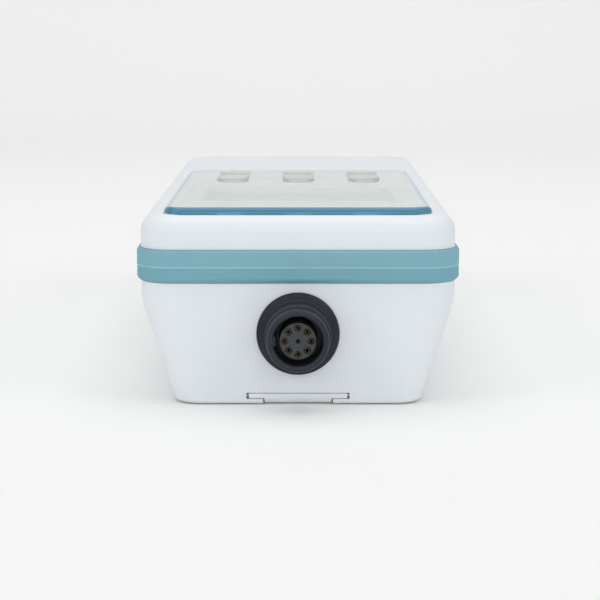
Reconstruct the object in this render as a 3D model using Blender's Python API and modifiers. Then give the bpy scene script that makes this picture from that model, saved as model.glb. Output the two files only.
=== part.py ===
"""Handheld water quality meter with a probe socket in its front end.

The row frame is in metres: +X to the right across the case, +Y from the socket end
back to the grip end, +Z up. The origin lies on the table under the middle of the
whole object, and the meter stands on its four rubber feet with the display facing up.
"""

import math

import bmesh
import bpy
from mathutils import Matrix, Vector

# ---------------------------------------------------------------- driving sizes
BODY_WIDTH = 0.1150  # over the edge band
BODY_LENGTH = 0.2830  # over the edge band
SOCKET_PROUD = 0.0155  # how far the socket stands in front of the band
FOOT_PROUD = 0.0004
PARTING_Z = 0.0495  # where the two case halves meet
TOP_Z = 0.0673  # white top face of the case
LENS_TOP_Z = 0.0697
BAND_HEIGHT = 0.0118
BAND_PROUD = 0.0015
WALL = 0.0027
RIM = 0.0060  # how far the thickened rim reaches in from the case's side
GAP = 0.0003  # left between neighbours that touch
CORNER = 0.0120
TOP_FILLET = 0.0060
FLOOR_FILLET = 0.0014
TAPER = math.radians(18.0)  # how far the lower sides lean in
TAPER_START_Z = 0.0365  # where the leaning side would meet the upright side
TAPER_BEND = 0.0280
REAR_TAPER_SHARE = 0.65

# ---------------------------------------------------------------- derived frame
HALF_WIDTH = BODY_WIDTH / 2 - BAND_PROUD
CASE_LENGTH = BODY_LENGTH - 2 * BAND_PROUD
BAND_FRONT = -(BODY_LENGTH + SOCKET_PROUD) / 2 + SOCKET_PROUD
CASE_FRONT = BAND_FRONT + BAND_PROUD
BASE_Z = FOOT_PROUD
BAND_LOW_Z = PARTING_Z - BAND_HEIGHT / 2
BAND_HIGH_Z = PARTING_Z + BAND_HEIGHT / 2

# ---------------------------------------------------------------- upper side
PLATE_UNDER_Z = TOP_Z - WALL
POCKET_FLOOR_Z = TOP_Z - 0.0013
SHEET_THICK = 0.0004
LENS_HALF_WIDTH = 0.0478
LENS_START = 0.0053  # distances back from the case's front face
LENS_END = 0.1645
LENS_CORNER = 0.0080
LENS_BEVEL = 0.0016
WINDOW_HALF_WIDTH = 0.0359
WINDOW_START = 0.0368
WINDOW_END = 0.0889
KEY_COLUMNS = (-0.0270, 0.0, 0.0270)
KEY_ROWS = (0.1195, 0.1345, 0.1495)
KEY_HALF = (0.0064, 0.0042)
KEY_CORNER = 0.0038
KEY_TRAVEL = 0.0012
KEY_PROUD = (0.0013, 0.0006, 0.0006)  # row by row, from the display back
KEY_FLANGE = 0.0013
BOARD_UNDER_Z = 0.0564
BOARD_THICK = 0.0016
BOARD_HALF_WIDTH = 0.0465
BOARD_START = 0.0240
BOARD_END = 0.1700
BOARD_POSTS = [(x, s) for x in (-0.0435, 0.0435) for s in (0.0285, 0.1650)]

# ---------------------------------------------------------------- socket
SOCKET_Z = 0.0258
FLANGE_RADIUS = 0.0147
BARREL_RADIUS = 0.0116
RIM_RADIUS = 0.0109
BORE_RADIUS = 0.0087
THREAD_RADIUS = 0.0097
INSERT_RADIUS = 0.0064
CONTACT_RING = 0.0046
CONTACT_RADIUS = 0.00085
CONTACTS = 8

# ---------------------------------------------------------------- underside
STAND_HALF_WIDTH = 0.0120
STAND_LENGTH = 0.0600
STAND_THICK = 0.0038
EAR_HALF_WIDTH = 0.0175
EAR_LOW_Z = BASE_Z + 0.0019
PIVOT_BACK = 0.0016
PIVOT_Z = BASE_Z + 0.0029
PIVOT_STUB = 0.0006
CELL_RADIUS = 0.0131
CELL_LENGTH = 0.0500
CELL_X = 0.0138
DOOR_HALF_WIDTH = 0.0330
DOOR_START = 0.0700
DOOR_END = 0.2110
DOOR_THICK = 0.0030
DOOR_SCREWS = (0.0755, 0.2045)
BAY_HALF_WIDTH = 0.0276
BAY_START = 0.0840
BAY_END = 0.1950
BAY_TOP_Z = 0.0316
LEDGE_Z = BASE_Z + DOOR_THICK + 0.0013
CELL_Z = BASE_Z + DOOR_THICK + 0.0005 + CELL_RADIUS
FEET = [(0.031, 0.032), (-0.031, 0.032), (0.030, 0.245), (-0.030, 0.245)]
FOOT_RADIUS = 0.0050
CASE_SCREWS = [(x, s) for x in (-0.034, 0.034) for s in (0.0125, 0.2620)]
SCREW_SEAT_Z = 0.0420
BOSS_RADIUS = 0.0047

# How far a cutter runs past the face that it cuts.
CUT_PAST = 0.002
SHALLOW_CUT_PAST = 0.001

# Screw bosses, wells and threads of the case.
SCREW_WELL_RADIUS = 0.0033
THREAD_HOLE_RADIUS = 0.0017
LOWER_THREAD_TOP_Z = 0.052
UPPER_THREAD_LOW_Z = 0.040
UPPER_THREAD_TOP_Z = 0.0600
BOSS_FOOT_Z = 0.0025
BOSS_ABOVE_SEAT = 0.004
CEILING_OVERLAP = 0.0008
FOOT_POCKET_DEPTH = 0.0013

# Boxes inside the lower half: X, distance back from the front, and Z.
LEDGE_BOX = ((-0.036, 0.036), (0.0675, 0.2140), (0.0030, LEDGE_Z + 0.0024))
BAY_BOX = ((-0.0300, 0.0300), (0.0816, 0.1974), (0.0060, 0.0340))
STAND_ROOF_BOX = ((-0.0155, 0.0155), (0.0010, 0.0685), (0.0020, 0.0076))
PIVOT_HOUSING_BOX = ((-0.0225, 0.0225), (0.0010, 0.0066), (0.0020, 0.0084))
DOOR_POST_HALF_WIDTH = 0.008
DOOR_POST_HEIGHTS = (0.0050, 0.0190)

# Openings in the underside.
DOOR_RECESS_CORNER = 0.0043
PILOT_RADIUS = 0.0018
PILOT_LOW_Z = 0.003
PILOT_TOP_Z = 0.0165
LEG_SIDE_GAP = 0.0004
LEG_END_GAP = 0.0005
EAR_END_GAP = 0.0008
EAR_POCKET_RADIUS = 0.00195
STUB_HOLE_RADIUS = 0.0009
STUB_HOLE_REACH = 0.0207
SCOOP_HALF_WIDTH = 0.0075
SCOOP_SPAN = (0.0590, 0.0665)
SCOOP_OVER_ROOF = 0.0004
STAND_NOSE_RADIUS = 0.0028

# The socket's seat and its own steps.
SOCKET_HOLE_DEPTH = 0.006
SEAL_SEAT_RADIUS = 0.0130
SEAL_SEAT_DEPTH = 0.0012
FLANGE_THICK = 0.0023
FLANGE_CHAMFER = 0.0005
BORE_FLOOR = 0.0050
INSERT_SET_BACK = 0.0011
SLEEVE_SET_BACK = 0.0016
SLEEVE_BORE_DEPTH = 0.0080
SLEEVE_BORE_RADIUS = 0.00055
CENTRE_HOLE_RADIUS = 0.0007

# The joint between the two halves.
GASKET_GROOVE_INSETS = (0.0027, 0.0047)
GASKET_GROOVE_DEPTH = 0.00165
GASKET_INSETS = (0.0030, 0.0044)
GASKET_DEPTH = 0.00135
BAND_ROUNDING = (0.0012, 0.0020)

# Board posts, pins and chips.
BOARD_POST_RADIUS = 0.0030
BOARD_PIN_RADIUS = 0.0011
BOARD_HOLE_RADIUS = 0.0015
MAT_X = (-0.0385, 0.0385)
MAT_SPAN = (0.1120, 0.1570)
MAT_THICK = 0.001
HARNESS_RADIUS = 0.0022
BATTERY_LEAD_RADIUS = 0.0012

# Cells, springs and terminals.
CELL_BUTTON_RADIUS = 0.0033
CELL_BUTTON_HEIGHT = 0.0016
CELL_EDGE = 0.0008
SPRING_LENGTH = 0.0070
SPRING_SET_BACK = 0.0004
TERMINAL_HALF = 0.009
TERMINAL_THICK = 0.0003
BRIDGE_THICK = 0.0005

# The cover's screw holes.
SHANK_HOLE_RADIUS = 0.0018
HEAD_WELL_RADIUS = 0.0037
HEAD_WELL_DEPTH = 0.0019


def back(distance):
    """World Y of a point this far behind the case's front face."""
    return CASE_FRONT + distance


# ---------------------------------------------------------------- scene helpers
def clear_scene():
    for obj in list(bpy.data.objects):
        bpy.data.objects.remove(obj, do_unlink=True)


def new_collection(name):
    collection = bpy.data.collections.new(name)
    bpy.context.scene.collection.children.link(collection)
    return collection


def make_material(name, colour, roughness, metallic=0.0):
    material = bpy.data.materials.new(name)
    material.use_nodes = True
    shader = material.node_tree.nodes["Principled BSDF"]
    shader.inputs["Base Color"].default_value = (*colour, 1.0)
    shader.inputs["Roughness"].default_value = roughness
    shader.inputs["Metallic"].default_value = metallic
    return material


clear_scene()
PARTS = new_collection("water_quality_meter")
CUTTERS = new_collection("cutters")
WHITE = make_material("white_plastic", (0.80, 0.83, 0.86), 0.45)
TEAL = make_material("teal_rubber", (0.18, 0.40, 0.47), 0.60)
TINTED = make_material("blue_lens", (0.07, 0.24, 0.38), 0.08)
SHEET = make_material("face_sheet", (0.55, 0.54, 0.50), 0.50)
GREY = make_material("key_rubber", (0.16, 0.18, 0.20), 0.55)
BLACK = make_material("black_nylon", (0.03, 0.03, 0.035), 0.42)
RUBBER = make_material("seal_rubber", (0.02, 0.02, 0.02), 0.80)
GOLD = make_material("gold_plate", (0.90, 0.65, 0.25), 0.22, 1.0)
STEEL = make_material("steel", (0.60, 0.61, 0.62), 0.30, 1.0)
BOARD = make_material("circuit_board", (0.03, 0.22, 0.10), 0.45)
DISPLAY = make_material("display_glass", (0.32, 0.38, 0.30), 0.12)
CELL = make_material("cell_jacket", (0.10, 0.12, 0.16), 0.35)


def add_object(name, data, material=None):
    """Puts a mesh or curve in the scene: a part if it has a material, else a cutter."""
    obj = bpy.data.objects.new(name, data)
    if material is None:
        CUTTERS.objects.link(obj)
        obj.hide_render = True
        obj.display_type = "WIRE"
    else:
        PARTS.objects.link(obj)
        if not data.materials:
            data.materials.append(material)
    return obj


def mesh_from(name, bm):
    mesh = bpy.data.meshes.new(name)
    bmesh.ops.recalc_face_normals(bm, faces=bm.faces)
    bm.to_mesh(mesh)
    bm.free()
    return mesh


def boolean(target, other, operation="DIFFERENCE"):
    modifier = target.modifiers.new(operation.lower(), "BOOLEAN")
    modifier.object = other
    modifier.operation = operation
    modifier.solver = "EXACT"


def shade_round(mesh):
    mesh.shade_smooth()
    mesh.set_sharp_from_angle(angle=math.radians(35))


# ---------------------------------------------------------------- shape helpers
def block_into(bm, x, s, z, corner=0.0, corner_steps=3, edge=0.0):
    """A box from (low, high) pairs, s counted back from the case's front face.

    corner rounds the four upright edges and edge rounds the rim of the top face.
    """
    size = Vector((x[1] - x[0], s[1] - s[0], z[1] - z[0]))
    middle = Vector((sum(x) / 2, back(sum(s) / 2), sum(z) / 2))
    made = bmesh.ops.create_cube(bm, size=1.0)["verts"]
    bmesh.ops.scale(bm, vec=size, verts=made)
    bmesh.ops.translate(bm, vec=middle, verts=made)
    edges = {e for v in made for e in v.link_edges}
    if corner:
        upright = [e for e in edges if abs((e.verts[0].co - e.verts[1].co).z) > size.z / 2]
        done = bmesh.ops.bevel(
            bm, geom=upright, offset=corner, segments=corner_steps, profile=0.5, affect="EDGES"
        )
        edges |= {e for v in done["verts"] for e in v.link_edges}
    if edge:
        rim = [
            e
            for e in bm.edges
            if e.is_valid and all(abs(v.co.z - z[1]) < 1e-7 for v in e.verts) and e in edges
        ]
        bmesh.ops.bevel(bm, geom=rim, offset=edge, segments=2, profile=0.5, affect="EDGES")


def block(name, x, s, z, material=None, **rounding):
    bm = bmesh.new()
    block_into(bm, x, s, z, **rounding)
    return add_object(name, mesh_from(name, bm), material)


def rod_into(bm, radius, start, end, sides=16):
    """A cylinder between two world points."""
    start, end = Vector(start), Vector(end)
    turn = (end - start).to_track_quat("Z", "Y").to_matrix().to_4x4()
    bmesh.ops.create_cone(
        bm,
        cap_ends=True,
        segments=sides,
        radius1=radius,
        radius2=radius,
        depth=(end - start).length,
        matrix=Matrix.Translation((start + end) / 2) @ turn,
    )


def rod(name, radius, start, end, material=None, sides=16):
    bm = bmesh.new()
    rod_into(bm, radius, start, end, sides)
    mesh = mesh_from(name, bm)
    shade_round(mesh)
    return add_object(name, mesh, material)


def rounded_ring(half_width, front, rear, radius, steps):
    """Points round a rectangle with round corners, in order, seen from above."""
    corners = (
        (half_width - radius, front + radius, -90),
        (half_width - radius, rear - radius, 0),
        (-half_width + radius, rear - radius, 90),
        (-half_width + radius, front + radius, 180),
    )
    points = []
    for x, y, first in corners:
        for k in range(steps + 1):
            angle = math.radians(first + 90 * k / steps)
            points.append((x + radius * math.cos(angle), y + radius * math.sin(angle)))
    return points


def loft(name, sections, material=None, steps=5):
    """A closed solid through rounded rectangles of unlike size, from low to high.

    A section is (z, side inset, front inset, rear inset, corner radius), measured in
    from the outline of the case.
    """
    bm = bmesh.new()
    rings = []
    for z, side, front, rear, radius in sections:
        outline = rounded_ring(
            HALF_WIDTH - side, back(front), back(CASE_LENGTH - rear), radius, steps
        )
        rings.append([bm.verts.new((x, y, z)) for x, y in outline])
    for low, high in zip(rings, rings[1:]):
        for k in range(len(low)):
            after = (k + 1) % len(low)
            bm.faces.new((low[k], low[after], high[after], high[k]))
    bm.faces.new(reversed(rings[0]))
    bm.faces.new(rings[-1])
    mesh = mesh_from(name, bm)
    shade_round(mesh)
    return add_object(name, mesh, material)


def turned(name, profile, steps, material=None, closed=False):
    """A turned solid about its own Z axis: the profile is (radius, z), outer side first, going down."""
    mesh = bpy.data.meshes.new(name)
    edges = [(k, k + 1) for k in range(len(profile) - 1)]
    if closed:
        edges.append((len(profile) - 1, 0))
    mesh.from_pydata([(r, 0.0, z) for r, z in profile], edges, [])
    obj = add_object(name, mesh, material)
    screw = obj.modifiers.new("turn", "SCREW")
    screw.steps = screw.render_steps = steps
    screw.use_merge_vertices = True
    screw.merge_threshold = 0.00001
    screw.use_smooth_shade = True
    return obj


def face_front(obj, x, z):
    """Turns an object made about Z so that its axis runs forwards out of the case's front face."""
    obj.matrix_world = Matrix.Translation((x, CASE_FRONT, z)) @ Matrix.Rotation(
        math.radians(90), 4, "X"
    )


def tube(name, points, radius, material, resolution=2):
    curve = bpy.data.curves.new(name, "CURVE")
    curve.dimensions = "3D"
    spline = curve.splines.new("POLY")
    spline.points.add(len(points) - 1)
    for point, place in zip(spline.points, points):
        point.co = (*place, 1.0)
    curve.bevel_depth = radius
    curve.bevel_resolution = resolution
    curve.use_fill_caps = True
    return add_object(name, curve, material)


def smooth_path(route, count):
    """Points along a Catmull-Rom curve through the route's own points."""
    ends = [2 * route[0] - route[1], *route, 2 * route[-1] - route[-2]]
    path = []
    for k in range(count + 1):
        at = k / count * (len(route) - 1)
        i = min(int(at), len(route) - 2)
        t = at - i
        a, b, c, d = ends[i : i + 4]
        path.append(
            0.5
            * (2 * b + (c - a) * t + (2 * a - 5 * b + 4 * c - d) * t**2 + (3 * b - a - 3 * c + d) * t**3)
        )
    return path


# ---------------------------------------------------------------- case halves
def side_inset(z):
    """How far the lower case's side leans in at a height: straight, then bent upright."""
    upright_z = TAPER_START_Z + TAPER_BEND * math.tan(TAPER / 2)
    if z >= upright_z:
        return 0.0
    if z <= upright_z - TAPER_BEND * math.sin(TAPER):
        return (TAPER_START_Z - z) * math.tan(TAPER)
    return TAPER_BEND - math.sqrt(TAPER_BEND**2 - (upright_z - z) ** 2)


def lower_section(z, extra=0.0, radius=CORNER):
    inset = side_inset(z)
    return (z, inset + extra, extra, REAR_TAPER_SHARE * inset + extra, radius)


def even_section(z, inset, radius=None):
    return (z, inset, inset, inset, CORNER - inset if radius is None else radius)


def lower_outline():
    sections = []
    for degrees in (0, 35, 65, 90):
        angle = math.radians(degrees)
        z = BASE_Z + FLOOR_FILLET * (1 - math.cos(angle))
        sections.append(lower_section(z, FLOOR_FILLET * (1 - math.sin(angle)), 0.009))
    for z, radius in ((0.020, 0.0105), (0.0295, CORNER), (0.0335, CORNER), (0.0400, CORNER)):
        sections.append(lower_section(z, radius=radius))
    shelf_z = BAND_LOW_Z - GAP
    sections += [
        even_section(shelf_z, 0.0),
        even_section(shelf_z, BAND_PROUD),
        even_section(PARTING_Z - GAP / 2, BAND_PROUD),
    ]
    return sections


def make_lower_case():
    case = loft("lower_case", lower_outline(), WHITE)
    hollow = [
        lower_section(z, WALL, radius)
        for z, radius in ((BASE_Z + WALL, 0.007), (0.020, 0.008), (0.0295, 0.009), (0.0398, 0.009))
    ]
    hollow += [even_section(0.0415, RIM, 0.007), even_section(PARTING_Z + 0.002, RIM, 0.007)]
    boolean(case, loft("lower_hollow", hollow))

    added = bmesh.new()
    block_into(added, *LEDGE_BOX)
    boolean(case, add_object("door_frame", mesh_from("door_frame", added)), "UNION")
    boolean(case, block("bay_box", *BAY_BOX), "UNION")
    for k, s in enumerate(DOOR_SCREWS):
        post_x = (-DOOR_POST_HALF_WIDTH, DOOR_POST_HALF_WIDTH)
        post = block(f"door_post_{k}", post_x, (s - 0.0065, s + 0.0072), DOOR_POST_HEIGHTS)
        boolean(case, post, "UNION")
    slab = block("stand_roof", *STAND_ROOF_BOX)
    boolean(case, slab, "UNION")
    housing = block("pivot_housing", *PIVOT_HOUSING_BOX)
    boolean(case, housing, "UNION")
    bosses = bmesh.new()
    for x, s in CASE_SCREWS:
        rod_into(bosses, BOSS_RADIUS, (x, back(s), BOSS_FOOT_Z), (x, back(s), SCREW_SEAT_Z + BOSS_ABOVE_SEAT))
    boolean(case, add_object("lower_bosses", mesh_from("lower_bosses", bosses)), "UNION")

    for name, radius, low, high, sides in (
        ("screw_wells", SCREW_WELL_RADIUS, -SHALLOW_CUT_PAST, SCREW_SEAT_Z, 16),
        ("screw_threads", THREAD_HOLE_RADIUS, SCREW_SEAT_Z - SHALLOW_CUT_PAST, LOWER_THREAD_TOP_Z, 12),
    ):
        holes = bmesh.new()
        for x, s in CASE_SCREWS:
            rod_into(holes, radius, (x, back(s), low), (x, back(s), high), sides)
        boolean(case, add_object(name, mesh_from(name, holes)))
    pockets = bmesh.new()
    for x, s in FEET:
        rod_into(
            pockets, FOOT_RADIUS + GAP, (x, back(s), -0.001), (x, back(s), BASE_Z + FOOT_POCKET_DEPTH), 20
        )
    boolean(case, add_object("foot_pockets", mesh_from("foot_pockets", pockets)))

    door_gap = DOOR_HALF_WIDTH + GAP
    boolean(
        case,
        block(
            "door_recess",
            (-door_gap, door_gap),
            (DOOR_START - GAP, DOOR_END + GAP),
            (-SHALLOW_CUT_PAST, LEDGE_Z),
            corner=DOOR_RECESS_CORNER,
        ),
    )
    bay = block(
        "bay_space", (-BAY_HALF_WIDTH, BAY_HALF_WIDTH), (BAY_START, BAY_END), (0.0, BAY_TOP_Z)
    )
    boolean(case, bay)
    pilots = bmesh.new()
    for s in DOOR_SCREWS:
        rod_into(pilots, PILOT_RADIUS, (0, back(s), PILOT_LOW_Z), (0, back(s), PILOT_TOP_Z), 12)
    boolean(case, add_object("door_pilots", mesh_from("door_pilots", pilots)))

    leg_gap = STAND_HALF_WIDTH + LEG_SIDE_GAP
    roof = BASE_Z + STAND_THICK + GAP
    boolean(
        case,
        block(
            "stand_recess",
            (-leg_gap, leg_gap),
            (-2 * CUT_PAST, STAND_LENGTH + LEG_END_GAP),
            (-SHALLOW_CUT_PAST, roof),
        ),
    )
    scoop_x = (-SCOOP_HALF_WIDTH, SCOOP_HALF_WIDTH)
    scoop = block("finger_scoop", scoop_x, SCOOP_SPAN, (-SHALLOW_CUT_PAST, roof + SCOOP_OVER_ROOF))
    boolean(case, scoop)
    pivot = (back(PIVOT_BACK), PIVOT_Z)
    ears = EAR_HALF_WIDTH + EAR_END_GAP
    boolean(case, rod("ear_pocket", EAR_POCKET_RADIUS, (-ears, *pivot), (ears, *pivot), sides=20))
    stub_holes = rod(
        "stub_holes", STUB_HOLE_RADIUS, (-STUB_HOLE_REACH, *pivot), (STUB_HOLE_REACH, *pivot), sides=12
    )
    boolean(case, stub_holes)

    panel = bmesh.new()
    outside, inside = (0, back(-CUT_PAST), SOCKET_Z), (0, back(SOCKET_HOLE_DEPTH), SOCKET_Z)
    rod_into(panel, THREAD_RADIUS + GAP, outside, inside, 32)
    boolean(case, add_object("socket_hole", mesh_from("socket_hole", panel)))
    seat = rod(
        "seal_seat",
        SEAL_SEAT_RADIUS,
        (0, back(-CUT_PAST), SOCKET_Z),
        (0, back(SEAL_SEAT_DEPTH), SOCKET_Z),
        sides=32,
    )
    boolean(case, seat)
    groove = ring_between(
        "gasket_groove", *GASKET_GROOVE_INSETS, PARTING_Z - GASKET_GROOVE_DEPTH, PARTING_Z + CUT_PAST
    )
    boolean(case, groove)
    return case


def ring_between(name, outer_inset, inner_inset, low, high, material=None):
    """A closed ring of rectangular section that follows the case's outline."""
    ring = loft(name, [even_section(low, outer_inset), even_section(high, outer_inset)], material)
    inner = [
        even_section(low - SHALLOW_CUT_PAST, inner_inset),
        even_section(high + SHALLOW_CUT_PAST, inner_inset),
    ]
    boolean(ring, loft(name + "_core", inner))
    return ring


def key_prisms(name, growth, low, high):
    """One upright prism round each key, as a cutter."""
    bm = bmesh.new()
    for s in KEY_ROWS:
        for x in KEY_COLUMNS:
            wide, deep = KEY_HALF[0] + growth, KEY_HALF[1] + growth
            block_into(
                bm,
                (x - wide, x + wide),
                (s - deep, s + deep),
                (low, high),
                corner=KEY_CORNER + growth,
            )
    return add_object(name, mesh_from(name, bm))


def window_prism(name, growth, low, high):
    return block(
        name,
        (-WINDOW_HALF_WIDTH - growth, WINDOW_HALF_WIDTH + growth),
        (WINDOW_START - growth, WINDOW_END + growth),
        (low, high),
    )


def make_upper_case():
    shelf_z = BAND_HIGH_Z + GAP
    sections = [
        even_section(PARTING_Z + GAP / 2, BAND_PROUD),
        even_section(shelf_z, BAND_PROUD),
        even_section(shelf_z, 0.0),
    ]
    for degrees in (0, 22.5, 45, 67.5, 90):
        angle = math.radians(degrees)
        z = TOP_Z - TOP_FILLET * (1 - math.sin(angle))
        sections.append(even_section(z, TOP_FILLET * (1 - math.cos(angle))))
    case = loft("upper_case", sections, WHITE)
    hollow = [
        even_section(PARTING_Z - CUT_PAST, RIM, 0.007),
        even_section(0.0575, RIM, 0.007),
        even_section(0.0600, WALL, 0.009),
        even_section(0.0622, WALL, 0.009),
        even_section(PLATE_UNDER_Z, 0.0050, 0.007),
    ]
    boolean(case, loft("upper_hollow", hollow))

    bosses = bmesh.new()
    for x, s in CASE_SCREWS:
        foot_z = SCREW_SEAT_Z + BOSS_ABOVE_SEAT + GAP
        rod_into(bosses, BOSS_RADIUS, (x, back(s), foot_z), (x, back(s), PLATE_UNDER_Z + CEILING_OVERLAP))
    posts = bmesh.new()
    board_top_z = BOARD_UNDER_Z + BOARD_THICK
    for x, s in BOARD_POSTS:
        top = (x, back(s), PLATE_UNDER_Z + CEILING_OVERLAP)
        rod_into(posts, BOARD_POST_RADIUS, (x, back(s), board_top_z + GAP), top, 12)
    pins = bmesh.new()
    for x, s in BOARD_POSTS:
        rod_into(
            pins, BOARD_PIN_RADIUS, (x, back(s), BOARD_UNDER_Z - 0.001), (x, back(s), board_top_z + 0.001), 12
        )
    for name, bm in (("upper_bosses", bosses), ("board_posts", posts), ("board_pins", pins)):
        boolean(case, add_object(name, mesh_from(name, bm)), "UNION")

    threads = bmesh.new()
    for x, s in CASE_SCREWS:
        rod_into(
            threads,
            THREAD_HOLE_RADIUS,
            (x, back(s), UPPER_THREAD_LOW_Z),
            (x, back(s), UPPER_THREAD_TOP_Z),
            12,
        )
    boolean(case, add_object("boss_holes", mesh_from("boss_holes", threads)))
    pocket = block(
        "lens_pocket",
        (-LENS_HALF_WIDTH - GAP, LENS_HALF_WIDTH + GAP),
        (LENS_START - GAP, LENS_END + GAP),
        (POCKET_FLOOR_Z, TOP_Z + 0.003),
        corner=LENS_CORNER + GAP,
        corner_steps=5,
    )
    boolean(case, pocket)
    boolean(case, window_prism("case_window", 0.0, PLATE_UNDER_Z - CUT_PAST, TOP_Z + CUT_PAST))
    boolean(case, key_prisms("case_key_holes", GAP, PLATE_UNDER_Z - 0.002, TOP_Z + 0.004))
    return case


def make_edge_band():
    """The rubber ring that covers the joint: crisp upper edge, rounder lower edge."""
    upper, lower = BAND_ROUNDING
    sections = []
    for degrees in (0, 45, 90):
        angle = math.radians(degrees)
        z = BAND_LOW_Z + lower * (1 - math.cos(angle))
        sections.append(even_section(z, -BAND_PROUD + lower * (1 - math.sin(angle))))
    for degrees in (0, 45, 90):
        angle = math.radians(degrees)
        z = BAND_HIGH_Z - upper * (1 - math.sin(angle))
        sections.append(even_section(z, -BAND_PROUD + upper * (1 - math.cos(angle))))
    band = loft("edge_band", sections, TEAL)
    core = [
        even_section(BAND_LOW_Z - SHALLOW_CUT_PAST, BAND_PROUD - GAP),
        even_section(BAND_HIGH_Z + SHALLOW_CUT_PAST, BAND_PROUD - GAP),
    ]
    boolean(band, loft("band_core", core))


def make_case_gasket():
    ring_between(
        "case_gasket", *GASKET_INSETS, PARTING_Z - GASKET_DEPTH, PARTING_Z - GAP / 2, RUBBER
    )


# ---------------------------------------------------------------- display and keys
def make_display():
    sheet_low = POCKET_FLOOR_Z + GAP
    lens_low = sheet_low + SHEET_THICK + GAP
    lens = block(
        "display_lens",
        (-LENS_HALF_WIDTH, LENS_HALF_WIDTH),
        (LENS_START, LENS_END),
        (lens_low, LENS_TOP_Z),
        TINTED,
        corner=LENS_CORNER,
        corner_steps=5,
        edge=LENS_BEVEL,
    )
    boolean(lens, key_prisms("lens_key_holes", GAP, lens_low - CUT_PAST, LENS_TOP_Z + CUT_PAST))
    sheet = block(
        "face_sheet",
        (-LENS_HALF_WIDTH + GAP, LENS_HALF_WIDTH - GAP),
        (LENS_START + GAP, LENS_END - GAP),
        (sheet_low, sheet_low + SHEET_THICK),
        SHEET,
        corner=LENS_CORNER - GAP,
        corner_steps=5,
    )
    boolean(sheet, window_prism(
        "sheet_window", 0.0, sheet_low - SHALLOW_CUT_PAST, sheet_low + SHALLOW_CUT_PAST
    ))
    boolean(sheet, key_prisms("sheet_key_holes", GAP, sheet_low - CUT_PAST, sheet_low + CUT_PAST))

    frame_low = BOARD_UNDER_Z + BOARD_THICK + GAP
    frame = block("lcd_frame", (-0.041, 0.041), (0.0325, 0.0932), (frame_low, 0.0643), STEEL)
    boolean(frame, block("lcd_pocket", (-0.0395, 0.0395), (0.034, 0.0917), (0.05, 0.0631)))
    boolean(frame, window_prism("frame_window", 0.001, 0.060, 0.067))
    block("lcd_glass", (-0.0392, 0.0392), (0.0343, 0.0914), (0.0607, 0.0628), DISPLAY)
    block("backlight_plate", (-0.0392, 0.0392), (0.0343, 0.0914), (frame_low, 0.0604), WHITE)


def key_cap(flange_low, flange_top, top):
    """One key's mesh about its own axis, with a flange at its foot and a crowned top."""
    bm = bmesh.new()
    wide, deep = KEY_HALF
    rings = []
    for z, grown in (
        (flange_low, KEY_FLANGE),
        (flange_top, KEY_FLANGE),
        (flange_top, 0.0),
        (top - 0.0005, 0.0),
        (top - 0.0002, -0.0005),
        (top, -0.0016),
    ):
        radius = KEY_CORNER + min(grown, 0.0)
        outline = rounded_ring(wide + grown, -deep - grown, deep + grown, radius, 3)
        rings.append([bm.verts.new((x, y, z)) for x, y in outline])
    for low, high in zip(rings, rings[1:]):
        for k in range(len(low)):
            after = (k + 1) % len(low)
            bm.faces.new((low[k], low[after], high[after], high[k]))
    bm.faces.new(reversed(rings[0]))
    bm.faces.new(rings[-1])
    mesh = mesh_from("key_cap", bm)
    shade_round(mesh)
    return mesh


def make_keys():
    """Nine caps, each with a flange that stops it under the case's top plate."""
    flange_top = PLATE_UNDER_Z - 0.0005
    flange_low = flange_top - 0.0012
    number = 0
    for s, proud in zip(KEY_ROWS, KEY_PROUD):
        mesh = key_cap(flange_low, flange_top, LENS_TOP_Z + proud)
        for x in KEY_COLUMNS:
            number += 1
            key = add_object(f"key_{number}", mesh, GREY)
            key.location = (x, back(s), 0.0)
    pad_top = flange_low - KEY_TRAVEL - GAP
    mat_low = BOARD_UNDER_Z + BOARD_THICK + GAP
    mat = block("keypad_mat", MAT_X, MAT_SPAN, (mat_low, mat_low + MAT_THICK), GREY)
    boolean(mat, key_prisms("mat_pads", -0.0012, mat_low + 0.0004, pad_top), "UNION")


# ---------------------------------------------------------------- circuit board
def make_board():
    under = BOARD_UNDER_Z
    board = block(
        "main_board",
        (-BOARD_HALF_WIDTH, BOARD_HALF_WIDTH),
        (BOARD_START, BOARD_END),
        (under, under + BOARD_THICK),
        BOARD,
    )
    holes = bmesh.new()
    for x, s in BOARD_POSTS:
        rod_into(
            holes, BOARD_HOLE_RADIUS, (x, back(s), under - CUT_PAST), (x, back(s), under + 2 * CUT_PAST), 12
        )
    boolean(board, add_object("board_holes", mesh_from("board_holes", holes)))
    block("processor_chip", (-0.007, 0.007), (0.063, 0.077), (0.0545, under - GAP), BLACK)
    block("board_header", (-0.008, 0.008), (0.031, 0.037), (0.0500, under - GAP), BLACK)
    rod("buzzer", 0.006, (0.025, back(0.110), 0.0501), (0.025, back(0.110), under - GAP), BLACK, 20)
    cell_top = (-0.025, back(0.110), under - GAP)
    rod("backup_cell", 0.010, (-0.025, back(0.110), 0.0529), cell_top, STEEL, 20)
    rise = [(0.0182, 0.0258), (0.0240, 0.0262), (0.0310, 0.0310), (0.0335, 0.0400), (0.0340, 0.0494)]
    route = [Vector((0, back(s), z)) for s, z in rise]
    tube("socket_harness", smooth_path(route, 12), HARNESS_RADIUS, BLACK)
    lead = [(0.0790, 0.0290), (0.0760, 0.0330), (0.0752, 0.0420), (0.0750, 0.0558)]
    route = [Vector((0.014, back(s), z)) for s, z in lead]
    tube("battery_lead", smooth_path(route, 9), BATTERY_LEAD_RADIUS, BLACK)


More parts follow.
